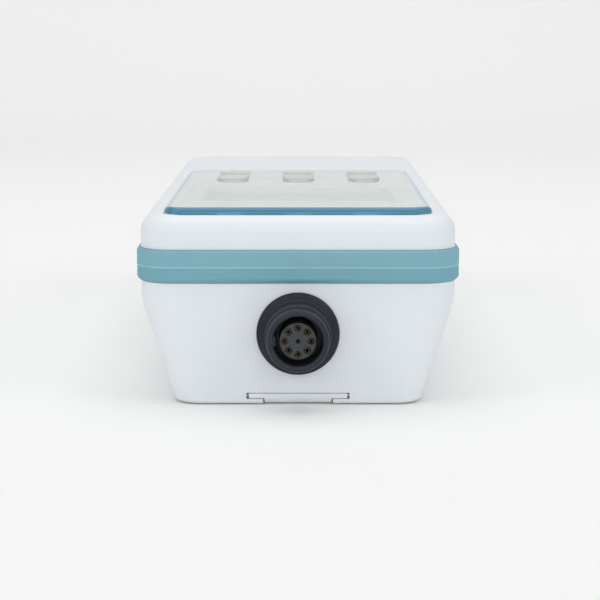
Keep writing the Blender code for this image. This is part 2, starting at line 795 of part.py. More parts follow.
# ---------------------------------------------------------------- probe socket
def make_socket():
    """The round socket, made about Z with +Z forwards out of the front face."""
    rim = SOCKET_PROUD + BAND_PROUD
    outer = [
        (BORE_RADIUS, rim - 0.0003),
        (BORE_RADIUS + 0.0003, rim),
        (RIM_RADIUS - 0.0005, rim),
        (RIM_RADIUS, rim - 0.0005),
        (RIM_RADIUS, rim - 0.0034),
        (RIM_RADIUS - 0.0005, rim - 0.0038),
        (RIM_RADIUS - 0.0005, rim - 0.0048),
        (BARREL_RADIUS, rim - 0.0050),
        (BARREL_RADIUS, FLANGE_THICK),
        (FLANGE_RADIUS - FLANGE_CHAMFER, FLANGE_THICK),
        (FLANGE_RADIUS, FLANGE_THICK - FLANGE_CHAMFER),
        (FLANGE_RADIUS, GAP),
        (THREAD_RADIUS, GAP),
        (THREAD_RADIUS, -0.0120),
        (INSERT_RADIUS + GAP, -0.0120),
        (INSERT_RADIUS + GAP, BORE_FLOOR),
        (BORE_RADIUS, BORE_FLOOR),
    ]
    shell = turned("socket_shell", outer, 36, BLACK, closed=True)
    face_front(shell, 0.0, SOCKET_Z)
    key_rib = block(
        "polarising_rib",
        (-BORE_RADIUS - 0.0010, -BORE_RADIUS + 0.0009),
        (-rim + 0.0006, -0.0040),
        (SOCKET_Z - 0.0018, SOCKET_Z + 0.0018),
    )
    boolean(shell, key_rib, "UNION")

    insert = rod(
        "socket_insert",
        INSERT_RADIUS,
        (0, back(-rim + INSERT_SET_BACK), SOCKET_Z),
        (0, back(0.0140), SOCKET_Z),
        BLACK,
        32,
    )
    holes = bmesh.new()
    for k in range(CONTACTS):
        x, z = contact_place(k)
        rod_into(holes, CONTACT_RADIUS + GAP, (x, back(-0.020), z), (x, back(0.016), z), 10)
    rod_into(holes, CENTRE_HOLE_RADIUS, (0, back(-0.020), SOCKET_Z), (0, back(-rim + 0.0040), SOCKET_Z), 10)
    boolean(insert, add_object("contact_holes", mesh_from("contact_holes", holes)))
    sleeve = [
        (CONTACT_RADIUS, rim - SLEEVE_SET_BACK),
        (CONTACT_RADIUS, -0.0170),
        (0.0, -0.0170),
    ]
    bore = [
        (0.0, rim - SLEEVE_BORE_DEPTH),
        (SLEEVE_BORE_RADIUS, rim - SLEEVE_BORE_DEPTH),
        (SLEEVE_BORE_RADIUS, rim - SLEEVE_SET_BACK),
    ]
    for k in range(CONTACTS):
        x, z = contact_place(k)
        contact = turned(f"socket_contact_{k + 1}", bore + sleeve, 10, GOLD)
        face_front(contact, x, z)

    seal = [(0.0127, 0.0), (0.0127, -0.0009), (0.0106, -0.0009), (0.0106, 0.0)]
    face_front(turned("socket_seal", seal, 28, RUBBER, closed=True), 0.0, SOCKET_Z)
    nut = rod(
        "socket_nut",
        0.0132,
        (0, back(WALL + GAP), SOCKET_Z),
        (0, back(WALL + GAP + 0.003), SOCKET_Z),
        STEEL,
        6,
    )
    thread = rod(
        "nut_thread",
        THREAD_RADIUS + GAP,
        (0, back(0.0), SOCKET_Z),
        (0, back(0.010), SOCKET_Z),
        sides=24,
    )
    boolean(nut, thread)


def contact_place(k):
    angle = math.radians(90 + 360 * k / CONTACTS)
    return CONTACT_RING * math.cos(angle), SOCKET_Z + CONTACT_RING * math.sin(angle)


# ---------------------------------------------------------------- power
def make_cells():
    """Four cells in two columns, in series: one column faces back, the other forwards."""
    body = CELL_LENGTH - CELL_BUTTON_HEIGHT
    profile = [
        (0.0, CELL_LENGTH),
        (CELL_BUTTON_RADIUS, CELL_LENGTH),
        (CELL_BUTTON_RADIUS, body),
        (CELL_RADIUS - CELL_EDGE, body),
        (CELL_RADIUS, body - CELL_EDGE),
        (CELL_RADIUS, CELL_EDGE),
        (CELL_RADIUS - CELL_EDGE, 0.0),
        (0.0, 0.0),
    ]
    spring = SPRING_LENGTH
    first = BAY_START + 3 * GAP + TERMINAL_THICK
    starts = {
        -1: [first + spring + GAP + k * (CELL_LENGTH + GAP) for k in range(2)],
        1: [first + k * (CELL_LENGTH + GAP) for k in range(2)],
    }
    number = 0
    for side, places in starts.items():
        for start in places:
            number += 1
            cell = turned(f"battery_cell_{number}", profile, 20, CELL)
            turn = Matrix.Rotation(math.radians(-90 if side < 0 else 90), 4, "X")
            y = back(start) if side < 0 else back(start + CELL_LENGTH)
            cell.matrix_world = Matrix.Translation((side * CELL_X, y, CELL_Z)) @ turn
    coil("battery_spring_front", -CELL_X, first + SPRING_SET_BACK, 1)
    coil("battery_spring_rear", CELL_X, starts[1][1] + CELL_LENGTH + GAP + spring - SPRING_SET_BACK, -1)

    low, high = CELL_Z - TERMINAL_HALF, CELL_Z + TERMINAL_HALF
    plate = (BAY_START + GAP, BAY_START + GAP + TERMINAL_THICK)
    negative = (-CELL_X - TERMINAL_HALF, -CELL_X + TERMINAL_HALF)
    block("battery_terminal_negative", negative, plate, (low, high), STEEL)
    positive = (CELL_X - TERMINAL_HALF, CELL_X + TERMINAL_HALF)
    block("battery_terminal_positive", positive, plate, (low, high), STEEL)
    far = starts[-1][1] + CELL_LENGTH + GAP
    reach = CELL_X + TERMINAL_HALF
    block("battery_bridge", (-reach, reach), (far, far + BRIDGE_THICK), (low, high), STEEL)


def coil(name, x, start, way):
    """A conical contact spring, its wide end on the plate at start, running back or forwards."""
    turns, per_turn, wire = 3.5, 12, 0.0004
    count = int(turns * per_turn)
    points = []
    for k in range(count + 1):
        share = k / count
        radius = 0.0080 - 0.0030 * share
        angle = 2 * math.pi * turns * share
        y = back(start) + way * share * (SPRING_LENGTH - 2 * wire)
        points.append(
            Vector((x + radius * math.cos(angle), y, CELL_Z + radius * math.sin(angle)))
        )
    tube(name, points, wire, STEEL, 1)


def make_battery_cover():
    low, high = BASE_Z, BASE_Z + DOOR_THICK
    cover = block(
        "battery_cover",
        (-DOOR_HALF_WIDTH, DOOR_HALF_WIDTH),
        (DOOR_START, DOOR_END),
        (low, high),
        WHITE,
        corner=0.004,
    )
    for name, radius, start, end, sides in (
        ("shank_holes", SHANK_HOLE_RADIUS, low + 0.0005, high + CUT_PAST, 12),
        ("head_wells", HEAD_WELL_RADIUS, low - CUT_PAST, low + HEAD_WELL_DEPTH, 20),
    ):
        holes = bmesh.new()
        for s in DOOR_SCREWS:
            rod_into(holes, radius, (0, back(s), start), (0, back(s), end), sides)
        boolean(cover, add_object(name, mesh_from(name, holes)))
    seal_low, seal_high = high + GAP, LEDGE_Z - GAP
    seal = block(
        "battery_cover_seal", (-0.0312, 0.0312), (0.0808, 0.1982), (seal_low, seal_high), RUBBER
    )
    boolean(
        seal,
        block("seal_core", (-0.0290, 0.0290), (0.0830, 0.1960), (seal_low - 0.001, seal_high + 0.001)),
    )
    profile = [
        (0.0, 0.0),
        (0.0015, 0.0),
        (0.0015, -0.0100),
        (0.0034, -0.0100),
        (0.0034, -0.0113),
        (0.0031, -0.0115),
        (0.0, -0.0115),
    ]
    for number, s in enumerate(DOOR_SCREWS, 1):
        screw = turned(f"cover_screw_{number}", profile, 16, STEEL)
        screw.location = (0, back(s), low + 0.0001 + 0.0115)


def make_case_screws():
    head_top = SCREW_SEAT_Z - GAP
    profile = [
        (0.0, 0.0145),
        (0.0014, 0.0145),
        (0.0014, 0.0),
        (0.0029, 0.0),
        (0.0029, -0.0019),
        (0.0024, -0.0024),
        (0.0, -0.0024),
    ]
    for number, (x, s) in enumerate(CASE_SCREWS, 1):
        screw = turned(f"case_screw_{number}", profile, 14, STEEL)
        screw.location = (x, back(s), head_top)


# ---------------------------------------------------------------- stand and feet
def make_stand():
    """A flat leg with two ears and stubs that pivot just behind the lower front edge."""
    low, high = BASE_Z, BASE_Z + STAND_THICK
    bm = bmesh.new()
    block_into(bm, (-STAND_HALF_WIDTH, STAND_HALF_WIDTH), (0.0, STAND_LENGTH), (low, high))
    front_edge = [
        e
        for e in bm.edges
        if all(abs(v.co.z - low) < 1e-7 and abs(v.co.y - CASE_FRONT) < 1e-7 for v in e.verts)
    ]
    bmesh.ops.bevel(bm, geom=front_edge, offset=STAND_NOSE_RADIUS, segments=4, profile=0.5, affect="EDGES")
    stand = add_object("tilt_stand", mesh_from("tilt_stand", bm), WHITE)
    ears = block(
        "stand_ears",
        (-EAR_HALF_WIDTH, EAR_HALF_WIDTH),
        (0.0001, 2 * PIVOT_BACK - 0.0001),
        (EAR_LOW_Z, high - 0.0001),
    )
    boolean(stand, ears, "UNION")
    pivot = (back(PIVOT_BACK), PIVOT_Z)
    stubs = rod("stand_stubs", PIVOT_STUB, (-0.0203, *pivot), (0.0203, *pivot), sides=12)
    boolean(stand, stubs, "UNION")


def make_feet():
    profile = [
        (0.0, BASE_Z + 0.0010),
        (FOOT_RADIUS, BASE_Z + 0.0010),
        (FOOT_RADIUS, 0.0005),
        (FOOT_RADIUS - 0.0005, 0.0),
        (0.0, 0.0),
    ]
    for number, (x, s) in enumerate(FEET, 1):
        foot = turned(f"rubber_foot_{number}", profile, 16, RUBBER)
        foot.location = (x, back(s), 0.0)


make_lower_case()
make_upper_case()
make_edge_band()
make_case_gasket()
make_display()
make_keys()
make_board()
make_socket()
make_cells()
make_battery_cover()
make_case_screws()
make_stand()
make_feet()
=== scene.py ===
"""Looks of the handheld water quality meter: case, rubber band, display panel, keys and probe socket.

Every size is in metres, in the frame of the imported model: +X right across the case, +Y from the
socket end to the grip end, +Z up.
"""

import logging
import math
from collections.abc import Callable, Iterable, Sequence
from dataclasses import dataclass, field
from enum import Enum

import bmesh
import bpy
from mathutils import Matrix, Vector


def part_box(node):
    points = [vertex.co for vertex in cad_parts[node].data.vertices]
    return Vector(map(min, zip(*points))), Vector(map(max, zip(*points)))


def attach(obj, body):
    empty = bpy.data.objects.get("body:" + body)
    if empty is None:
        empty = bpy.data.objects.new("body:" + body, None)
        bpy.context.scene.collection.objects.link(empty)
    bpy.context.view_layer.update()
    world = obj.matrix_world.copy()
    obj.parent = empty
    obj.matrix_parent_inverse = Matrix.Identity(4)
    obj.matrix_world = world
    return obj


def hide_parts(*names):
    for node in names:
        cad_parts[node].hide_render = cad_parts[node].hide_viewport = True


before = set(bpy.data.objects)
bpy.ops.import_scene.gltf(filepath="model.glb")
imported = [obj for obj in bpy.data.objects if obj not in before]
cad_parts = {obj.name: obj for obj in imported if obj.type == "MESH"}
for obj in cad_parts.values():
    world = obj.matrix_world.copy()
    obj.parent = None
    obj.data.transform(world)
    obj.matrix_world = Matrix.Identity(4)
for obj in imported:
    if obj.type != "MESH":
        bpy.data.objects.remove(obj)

LOG = logging.getLogger("meter")
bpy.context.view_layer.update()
CASE_LOW, CASE_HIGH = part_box("lower_case")
UPPER_LOW, UPPER_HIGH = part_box("upper_case")
FRONT = CASE_LOW.y
LENGTH = CASE_HIGH.y - CASE_LOW.y
HALF_WIDTH = CASE_HIGH.x
BASE_Z = CASE_LOW.z
TOP_Z = UPPER_HIGH.z
LENS_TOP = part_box("display_lens")[1].z
HAIR = 0.0003
SEAM = 0.00004
CUT_PAST = 0.002
LEAST_RADIUS = 0.00002
QUARTER = math.pi / 2

Colour = tuple[float, float, float]
Pair = tuple[float, float]
Socket = bpy.types.NodeSocket


def back(distance: float) -> float:
    """World Y of a point this far behind the case's front face."""
    return FRONT + distance


def srgb(red: int, green: int, blue: int) -> Colour:
    """Turns display values from 0 to 255 into a linear colour.

    Args:
        red: Red as displayed.
        green: Green as displayed.
        blue: Blue as displayed.

    Returns:
        The same colour in linear light.
    """
    return tuple(
        v / 3294.6 if v < 10.3 else ((v / 255 + 0.055) / 1.055) ** 2.4 for v in (red, green, blue)
    )


def ease(value: float, low: float, high: float) -> float:
    """Smooth step.

    Args:
        value: The value.
        low: Where the step starts, at 0.
        high: Where it ends, at 1.

    Returns:
        The step's height at the value.
    """
    share = min(max((value - low) / (high - low), 0.0), 1.0)
    return share * share * (3 - 2 * share)


# ------------------------------------------------------------------------------ finishes
class Body(Enum):
    """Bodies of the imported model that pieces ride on."""

    CASE = "case"
    COVER = "battery_cover_body"
    STAND = "tilt_stand_body"


class Slot(Enum):
    """Material slots of the record."""

    CASE = "white_plastic"
    BAND = "teal_rubber"
    LENS = "blue_lens"
    SHEET = "face_sheet"
    KEYS = "key_rubber"
    SOCKET = "black_nylon"
    SEALS = "seal_rubber"
    CONTACTS = "gold_plate"
    METAL = "steel"
    DISPLAY = "display_glass"


class Paint:
    """Builds one material's nodes, in object coordinates, so sizes are real ones."""

    FIRST_COLOUR = 6
    SECOND_COLOUR = 7
    MIXED_COLOUR = 2

    def __init__(self, name: str) -> None:
        """Starts a material that has only its shader and output.

        Args:
            name: Name of the material.
        """
        self.material = bpy.data.materials.new(name)
        self.material.use_nodes = True
        self.nodes = self.material.node_tree.nodes
        self.links = self.material.node_tree.links
        self.shader = self.nodes["Principled BSDF"]
        self.place = self.add("ShaderNodeTexCoord").outputs["Object"]

    def add(self, kind: str, **settings: object) -> bpy.types.Node:
        """Adds a node.

        Args:
            kind: Node type.
            settings: Properties to set on it.

        Returns:
            The new node.
        """
        node = self.nodes.new(kind)
        for key, value in settings.items():
            setattr(node, key, value)
        return node

    def feed(self, target: Socket, value: object) -> None:
        """Links a socket to a target, or sets the target's own value.

        Args:
            target: The input to feed.
            value: A socket, a number or a colour.
        """
        if isinstance(value, Socket):
            self.links.new(value, target)
        elif isinstance(value, tuple) and len(value) == 3 and target.type == "RGBA":
            target.default_value = (*value, 1.0)
        else:
            target.default_value = value

    def set(self, **values: object) -> None:
        """Sets or links the shader's sockets.

        Args:
            values: Each input by name, with an underscore for a space.
        """
        for key, value in values.items():
            self.feed(self.shader.inputs[key.replace("_", " ")], value)

    def math(self, how: str, *values: object) -> Socket:
        """One Math node.

        Args:
            how: Its operation.
            values: Up to three sockets or numbers.

        Returns:
            The result.
        """
        node = self.add("ShaderNodeMath", operation=how)
        for target, value in zip(node.inputs, values):
            self.feed(target, value)
        return node.outputs[0]

    def axes(self) -> list[Socket]:
        """Splits the object coordinates.

        Returns:
            X, Y and Z.
        """
        node = self.add("ShaderNodeSeparateXYZ")
        self.feed(node.inputs[0], self.place)
        return list(node.outputs)

    def stretched(self, scale: Colour) -> Socket:
        """Object coordinates scaled along each axis.

        Args:
            scale: Factor along X, Y and Z.

        Returns:
            The scaled coordinates.
        """
        node = self.add("ShaderNodeMapping")
        self.feed(node.inputs["Vector"], self.place)
        node.inputs["Scale"].default_value = scale
        return node.outputs[0]

    def noise(self, size: float, detail: float = 2.0, place: Socket | None = None) -> Socket:
        """Smooth noise.

        Args:
            size: About how far across its features are.
            detail: How many finer layers it has.
            place: Coordinates to use in place of the object's own.

        Returns:
            The noise, from 0 to 1.
        """
        node = self.add("ShaderNodeTexNoise")
        self.feed(node.inputs["Vector"], place or self.place)
        node.inputs["Scale"].default_value = 1 / size
        node.inputs["Detail"].default_value = detail
        return node.outputs["Fac"]

    def cells(self, size: float) -> Socket:
        """Distance to the nearest of many scattered points.

        Args:
            size: About how far apart the points are.

        Returns:
            The distance.
        """
        node = self.add("ShaderNodeTexVoronoi", feature="F1")
        self.feed(node.inputs["Vector"], self.place)
        node.inputs["Scale"].default_value = 1 / size
        return node.outputs["Distance"]

    def ramp(self, value: Socket, low: Pair, high: Pair) -> Socket:
        """Maps a value from one range to another, smoothly and clamped.

        Args:
            value: The value to map.
            low: Value and result at the lower end.
            high: Value and result at the upper end.

        Returns:
            The mapped value.
        """
        node = self.add("ShaderNodeMapRange", interpolation_type="SMOOTHSTEP")
        for target, number in zip(node.inputs, (value, low[0], high[0], low[1], high[1])):
            self.feed(target, number)
        return node.outputs[0]

    def mix(self, share: object, first: object, second: object) -> Socket:
        """Mixes two colours.

        Args:
            share: 0 gives the first colour and 1 the second.
            first: The first colour.
            second: The second colour.

        Returns:
            The mixed colour.
        """
        node = self.add("ShaderNodeMix", data_type="RGBA")
        self.feed(node.inputs["Factor"], share)
        self.feed(node.inputs[self.FIRST_COLOUR], first)
        self.feed(node.inputs[self.SECOND_COLOUR], second)
        return node.outputs[self.MIXED_COLOUR]

    def bump(self, *layers: tuple[Socket, float]) -> None:
        """Stacks bumps on the shader's normal.

        Args:
            layers: Each layer's pattern and its height.
        """
        normal: Socket | None = None
        for height, depth in layers:
            node = self.add("ShaderNodeBump")
            self.feed(node.inputs["Height"], height)
            node.inputs["Distance"].default_value = depth
            if normal is not None:
                self.feed(node.inputs["Normal"], normal)
            normal = node.outputs[0]
        self.set(Normal=normal)


@dataclass(frozen=True)
class Moulded:
    """A moulded or cast surface: colour with slight mottling, and a fine sparked grain."""

    name: str
    colour: Colour
    roughness: float
    grain: float = 0.00035
    grain_depth: float = 0.00001
    mottle: float = 0.03
    spread: float = 0.08
    metallic: float = 0.0
    coat: float = 0.0
    fibre: float = 0.0
    shine: float = 0.5

    def build(self) -> bpy.types.Material:
        """Returns the material."""
        paint = Paint(self.name)
        cloud = paint.noise(0.022, 3.0)
        fine = paint.noise(self.grain, 3.0)
        dark = tuple(c * (1 - self.mottle) for c in self.colour)
        light = tuple(min(c * (1 + self.mottle * 0.5), 1.0) for c in self.colour)
        tone = paint.mix(paint.ramp(cloud, (0.3, 0.0), (0.7, 1.0)), dark, light)
        if self.fibre:
            strands = paint.noise(0.0004, 1.0, paint.stretched((1.0, 0.25, 1.0)))
            pale = tuple(c + self.fibre for c in self.colour)
            tone = paint.mix(paint.ramp(strands, (0.62, 0.0), (0.75, 0.5)), tone, pale)
        wear = paint.noise(0.009, 4.0)
        low, high = self.roughness - self.spread / 2, self.roughness + self.spread / 2
        paint.set(Base_Color=tone, Roughness=paint.ramp(wear, (0.3, low), (0.7, high)))
        paint.set(Metallic=self.metallic, Coat_Weight=self.coat, Specular_IOR_Level=self.shine)
        paint.bump((fine, self.grain_depth), (paint.cells(self.grain * 2.2), self.grain_depth / 2))
        return paint.material


@dataclass(frozen=True)
class BandRubber:
    """Soft teal rubber, a little deeper in colour below the mould line, with a paler painted highlight along
    the mould line's ridge.
    """

    name: str
    upper: Colour
    lower: Colour
    # Colour of the painted highlight along the mould line; the random pale flecks use it too.
    line: Colour
    line_z: float = 0.0493
    line_half: float = 0.0003

    def build(self) -> bpy.types.Material:
        """Returns the material."""
        paint = Paint(self.name)
        z = paint.axes()[2]
        halves = paint.ramp(z, (self.line_z - 0.0008, 0.0), (self.line_z, 1.0))
        tone = paint.mix(halves, self.lower, self.upper)
        away = paint.math("ABSOLUTE", paint.math("SUBTRACT", z, self.line_z))
        # Painted highlight: a paler strip along the raised mould line.
        painted_ridge_highlight = paint.ramp(away, (self.line_half * 0.5, 0.9), (self.line_half * 1.3, 0.0))
        tone = paint.mix(painted_ridge_highlight, tone, self.line)
        cloud = paint.ramp(paint.noise(0.014, 4.0), (0.35, 0.0), (0.65, 0.10))
        tone = paint.mix(cloud, tone, tuple(c * 0.78 for c in self.upper))
        specks = paint.ramp(paint.noise(0.0012, 2.0), (0.70, 0.0), (0.78, 0.35))
        paint.set(Base_Color=paint.mix(specks, tone, self.line))
        paint.set(Roughness=paint.ramp(paint.noise(0.006, 3.0), (0.3, 0.52), (0.7, 0.64)))
        paint.bump((paint.noise(0.0003, 3.0), 0.000012), (paint.cells(0.0006), 0.000006))
        return paint.material


@dataclass(frozen=True)
class Turned:
    """Plated or machined metal with fine rings and a few dull stains."""

    name: str
    colour: Colour
    roughness: float = 0.24
    tarnish_and_shade: float = 0.25
    ring: float = 0.00012

    def build(self) -> bpy.types.Material:
        """Returns the material."""
        paint = Paint(self.name)
        stain = paint.ramp(paint.noise(0.0022, 4.0), (0.45, 0.0), (0.8, 1.0))
        dull = tuple(c * (1 - self.tarnish_and_shade) for c in self.colour)
        rings = paint.noise(self.ring, 2.0, paint.stretched((0.15, 1.0, 0.15)))
        paint.set(Base_Color=paint.mix(stain, self.colour, dull), Metallic=1.0)
        rough = paint.ramp(rings, (0.3, self.roughness - 0.06), (0.7, self.roughness + 0.1))
        paint.set(Roughness=rough)
        paint.bump((rings, 0.000004))
        return paint.material


@dataclass(frozen=True)
class GoldSleeve:
    """Gold plate, bright at the mouth, with painted shade down the bore: nearly black from just inside the
    mouth to the bore's end.
    """

    name: str
    gold: Colour
    # Colour of the painted shade down the bore.
    tarnish_and_shade: Colour
    mouth_y: float = -0.14755
    bore_end_y: float = -0.1408

    def build(self) -> bpy.types.Material:
        """Returns the material."""
        paint = Paint(self.name)
        y = paint.axes()[1]
        # Painted shade: from just inside the mouth to the bore's end the colour turns to the dark one.
        deep = paint.ramp(y, (self.mouth_y + 0.0001, 0.0), (self.mouth_y + 0.0009, 1.0))
        past = paint.ramp(y, (self.bore_end_y, 1.0), (self.bore_end_y + 0.0003, 0.0))
        wear = paint.ramp(paint.noise(0.0006, 3.0), (0.35, 0.0), (0.7, 0.25))
        tone = paint.mix(wear, self.gold, tuple(c * 0.6 for c in self.gold))
        paint.set(Base_Color=paint.mix(paint.math("MULTIPLY", deep, past), tone, self.tarnish_and_shade), Metallic=1.0)
        paint.set(Roughness=paint.ramp(paint.noise(0.0008, 3.0), (0.3, 0.16), (0.7, 0.3)))
        paint.bump((paint.noise(0.0004, 2.0), 0.000008))
        return paint.material


@dataclass(frozen=True)
class ClearPanel:
    """Clear tinted acrylic with faint rubbing on it."""

    name: str
    tint: Colour
    clearness: float
    roughness: float = 0.03

    def build(self) -> bpy.types.Material:
        """Returns the material."""
        paint = Paint(self.name)
        paint.set(Transmission_Weight=self.clearness, IOR=1.49)
        haze = paint.noise(0.03, 4.0)
        deep = tuple(c * 0.93 for c in self.tint)
        paint.set(Base_Color=paint.mix(paint.ramp(haze, (0.35, 0.0), (0.65, 1.0)), self.tint, deep))
        rubs = paint.noise(0.0016, 3.0, paint.stretched((1.0, 0.12, 1.0)))
        paint.set(Roughness=paint.ramp(rubs, (0.45, self.roughness), (0.8, self.roughness + 0.05)))
        paint.bump((paint.noise(0.012, 1.0), 0.00001))
        return paint.material


@dataclass(frozen=True)
class PrintedSheet:
    """The printed sheet under the clear panel: a bluish border round a warm grey field."""

    name: str
    field_colour: Colour
    border_colour: Colour
    bezel_colour: Colour
    field_half: Pair
    field_middle: Pair
    bezel_half: Pair
    bezel_middle: Pair

    def inside(self, paint: Paint, middle: Pair, half: Pair, soft: float) -> Socket:
        """1 inside a rounded rectangle and 0 outside it.

        Args:
            paint: The material being built.
            middle: The rectangle's middle.
            half: Its half width and half length.
            soft: Corner radius, which the distance is measured from.

        Returns:
            The mask.
        """
        x, y, _ = paint.axes()
        gaps = []
        for place, centre, reach in ((x, middle[0], half[0]), (y, middle[1], half[1])):
            away = paint.math("ABSOLUTE", paint.math("SUBTRACT", place, centre))
            gaps.append(paint.math("MAXIMUM", paint.math("SUBTRACT", away, reach - soft), 0.0))
        squares = [paint.math("MULTIPLY", gap, gap) for gap in gaps]
        distance = paint.math("SQRT", paint.math("ADD", *squares))
        return paint.ramp(distance, (soft - 0.0001, 1.0), (soft + 0.0001, 0.0))

    def build(self) -> bpy.types.Material:
        """Returns the material."""
        paint = Paint(self.name)
        speckle = paint.ramp(paint.noise(0.0003, 2.0), (0.3, 0.0), (0.7, 1.0))
        worn = tuple(c * 0.95 for c in self.field_colour)
        inner = paint.mix(speckle, worn, self.field_colour)
        border = paint.mix(speckle, tuple(c * 0.94 for c in self.border_colour), self.border_colour)
        tone = paint.mix(self.inside(paint, self.field_middle, self.field_half, 0.004), border, inner)
        bezel = self.inside(paint, self.bezel_middle, self.bezel_half, 0.0015)
        paint.set(Base_Color=paint.mix(bezel, tone, self.bezel_colour))
        paint.set(Roughness=paint.ramp(paint.noise(0.006), (0.3, 0.42), (0.7, 0.55)))
        paint.bump((speckle, 0.000004))
        return paint.material


@dataclass(frozen=True)
class DotDisplay:
    """A blank liquid crystal display with its faint grid of dots."""

    name: str
    ground: Colour
    dot: Colour
    pitch: float = 0.0005

    def build(self) -> bpy.types.Material:
        """Returns the material."""
        paint = Paint(self.name)
        lines = []
        for place in paint.axes()[:2]:
            turn = paint.math("MULTIPLY", place, 2 * math.pi / self.pitch)
            lines.append(paint.ramp(paint.math("COSINE", turn), (0.75, 0.0), (0.95, 1.0)))
        grid = paint.math("MAXIMUM", *lines)
        cloud = paint.ramp(paint.noise(0.03, 2.0), (0.3, 0.0), (0.7, 0.35))
        base = paint.mix(cloud, self.ground, tuple(c * 0.88 for c in self.ground))
        paint.set(Base_Color=paint.mix(paint.math("MULTIPLY", grid, 0.3), base, self.dot))
        paint.set(Roughness=paint.ramp(paint.noise(0.01, 3.0), (0.3, 0.10), (0.7, 0.18)))
        paint.set(Coat_Weight=0.6, Coat_Roughness=0.05)
        paint.bump((grid, 0.000003))
        return paint.material


@dataclass(frozen=True)
class CellJacket:
    """The printed jacket of a dry cell: dark, with a copper-coloured shoulder at one end."""

    name: str
    main: Colour
    shoulder: Colour
    bounds: Sequence[Pair]

    def build(self) -> bpy.types.Material:
        """Returns the material."""
        paint = Paint(self.name)
        y = paint.axes()[1]
        share: Socket | None = None
        for low, high in self.bounds:
            rise = paint.ramp(y, (low - 0.0001, 0.0), (low + 0.0001, 1.0))
            fall = paint.ramp(y, (high - 0.0001, 1.0), (high + 0.0001, 0.0))
            step = paint.math("MULTIPLY", rise, fall)
            share = step if share is None else paint.math("MAXIMUM", share, step)
        scuff = paint.ramp(paint.noise(0.004, 4.0), (0.5, 0.0), (0.8, 0.35))
        tone = paint.mix(share, self.main, self.shoulder)
        paint.set(Base_Color=paint.mix(scuff, tone, (0.3, 0.3, 0.3)), Metallic=0.55)
        paint.set(Roughness=paint.ramp(paint.noise(0.006), (0.3, 0.26), (0.7, 0.38)))
        paint.bump((paint.noise(0.003, 2.0), 0.00001))
        return paint.material


@dataclass(frozen=True)
class CircuitBoard:
    """Green lacquer over copper tracks."""

    name: str
    lacquer: Colour = (0.012, 0.13, 0.05)
    copper: Colour = (0.05, 0.26, 0.10)

    def build(self) -> bpy.types.Material:
        """Returns the material."""
        paint = Paint(self.name)
        bricks = paint.add("ShaderNodeTexBrick", offset=0.37)
        paint.feed(bricks.inputs["Vector"], paint.place)
        bricks.inputs["Scale"].default_value = 160.0
        bricks.inputs["Mortar Size"].default_value = 0.06
        tracks = paint.math("SUBTRACT", 1.0, bricks.outputs["Fac"])
        paint.set(Base_Color=paint.mix(bricks.outputs["Fac"], self.lacquer, self.copper))
        paint.set(Roughness=paint.ramp(paint.noise(0.004), (0.3, 0.25), (0.7, 0.4)))
        paint.bump((tracks, 0.00002))
        return paint.material


WHITE = Moulded("white_case_plastic", (0.80, 0.835, 0.87), 0.44, mottle=0.012)
# The band's third colour is the painted highlight along the mould line, also used for its pale flecks.
BAND = BandRubber("teal_band_rubber", srgb(125, 175, 189), srgb(114, 168, 181), srgb(150, 200, 212))
NYLON = Moulded(
    "black_socket_nylon", (0.021, 0.026, 0.035), 0.36, 0.0003, 0.000015, 0.25, 0.14, fibre=0.016, shine=0.22
)
INSERT = Moulded("socket_insert_nylon", (0.042, 0.047, 0.050), 0.5, 0.00025, 0.00001, 0.1, 0.1, shine=0.3)
KEY = Moulded("grey_key_rubber", srgb(205, 208, 204), 0.5, 0.0003, 0.00001, 0.05, 0.1)
SEAL = Moulded("seal_rubber", (0.018, 0.018, 0.019), 0.7, 0.0004, 0.00002, 0.2, 0.1)
WIRE = Moulded("wire_jacket", (0.02, 0.02, 0.022), 0.45, 0.0006, 0.00002, 0.2, 0.1)
CHIP = Moulded("chip_resin", (0.02, 0.02, 0.022), 0.5, 0.0002, 0.00001, 0.2, 0.1)
GUIDE = Moulded("light_guide", (0.8, 0.82, 0.83), 0.2, 0.0005, 0.00001, 0.02, 0.05)
# The third colour is the painted shade down each contact's bore.
GOLD = GoldSleeve("gold_contact", (0.86, 0.66, 0.34), (0.012, 0.009, 0.006))
STEEL = Turned("plain_steel", (0.56, 0.57, 0.58), 0.3, 0.2, 0.0002)
LENS_CLEAR = ClearPanel("clear_panel", srgb(240, 249, 251), 1.0)
LENS_EDGE = ClearPanel("clear_panel_edge", srgb(90, 160, 194), 0.35, 0.04)
BOARD = CircuitBoard("circuit_board")


class Library:
    """Builds each finish once and hands the same material out again."""

    def __init__(self) -> None:
        """Starts with no material built."""
        self.built: dict[str, bpy.types.Material] = {}

    def get(self, finish: object) -> bpy.types.Material:
        """Hands out a material, which it builds the first time.

        Args:
            finish: The finish.

        Returns:
            Its material.
        """
        if finish.name not in self.built:
            self.built[finish.name] = finish.build()
        return self.built[finish.name]


LIBRARY = Library()


# ------------------------------------------------------------------------------ shaping
def outline(half: float, low: float, high: float, radius: float, steps: int = 12) -> list[Pair]:
    """Points round a rectangle with round corners.

    Args:
        half: Half its width.
        low: Its front edge in world Y.
        high: Its rear edge in world Y.
        radius: Corner radius.
        steps: Segments in each corner.

    Returns:
        The points in order, seen from above.
    """
    radius = max(radius, LEAST_RADIUS)
    near, far = low + radius, high - radius
    corners = ((1, near, -90), (1, far, 0), (-1, far, 90), (-1, near, 180))
    points = []
    for side, y, first in corners:
        for k in range(steps + 1):
            angle = math.radians(first + 90 * k / steps)
            x = side * (half - radius) + radius * math.cos(angle)
            points.append((x, y + radius * math.sin(angle)))
    return points


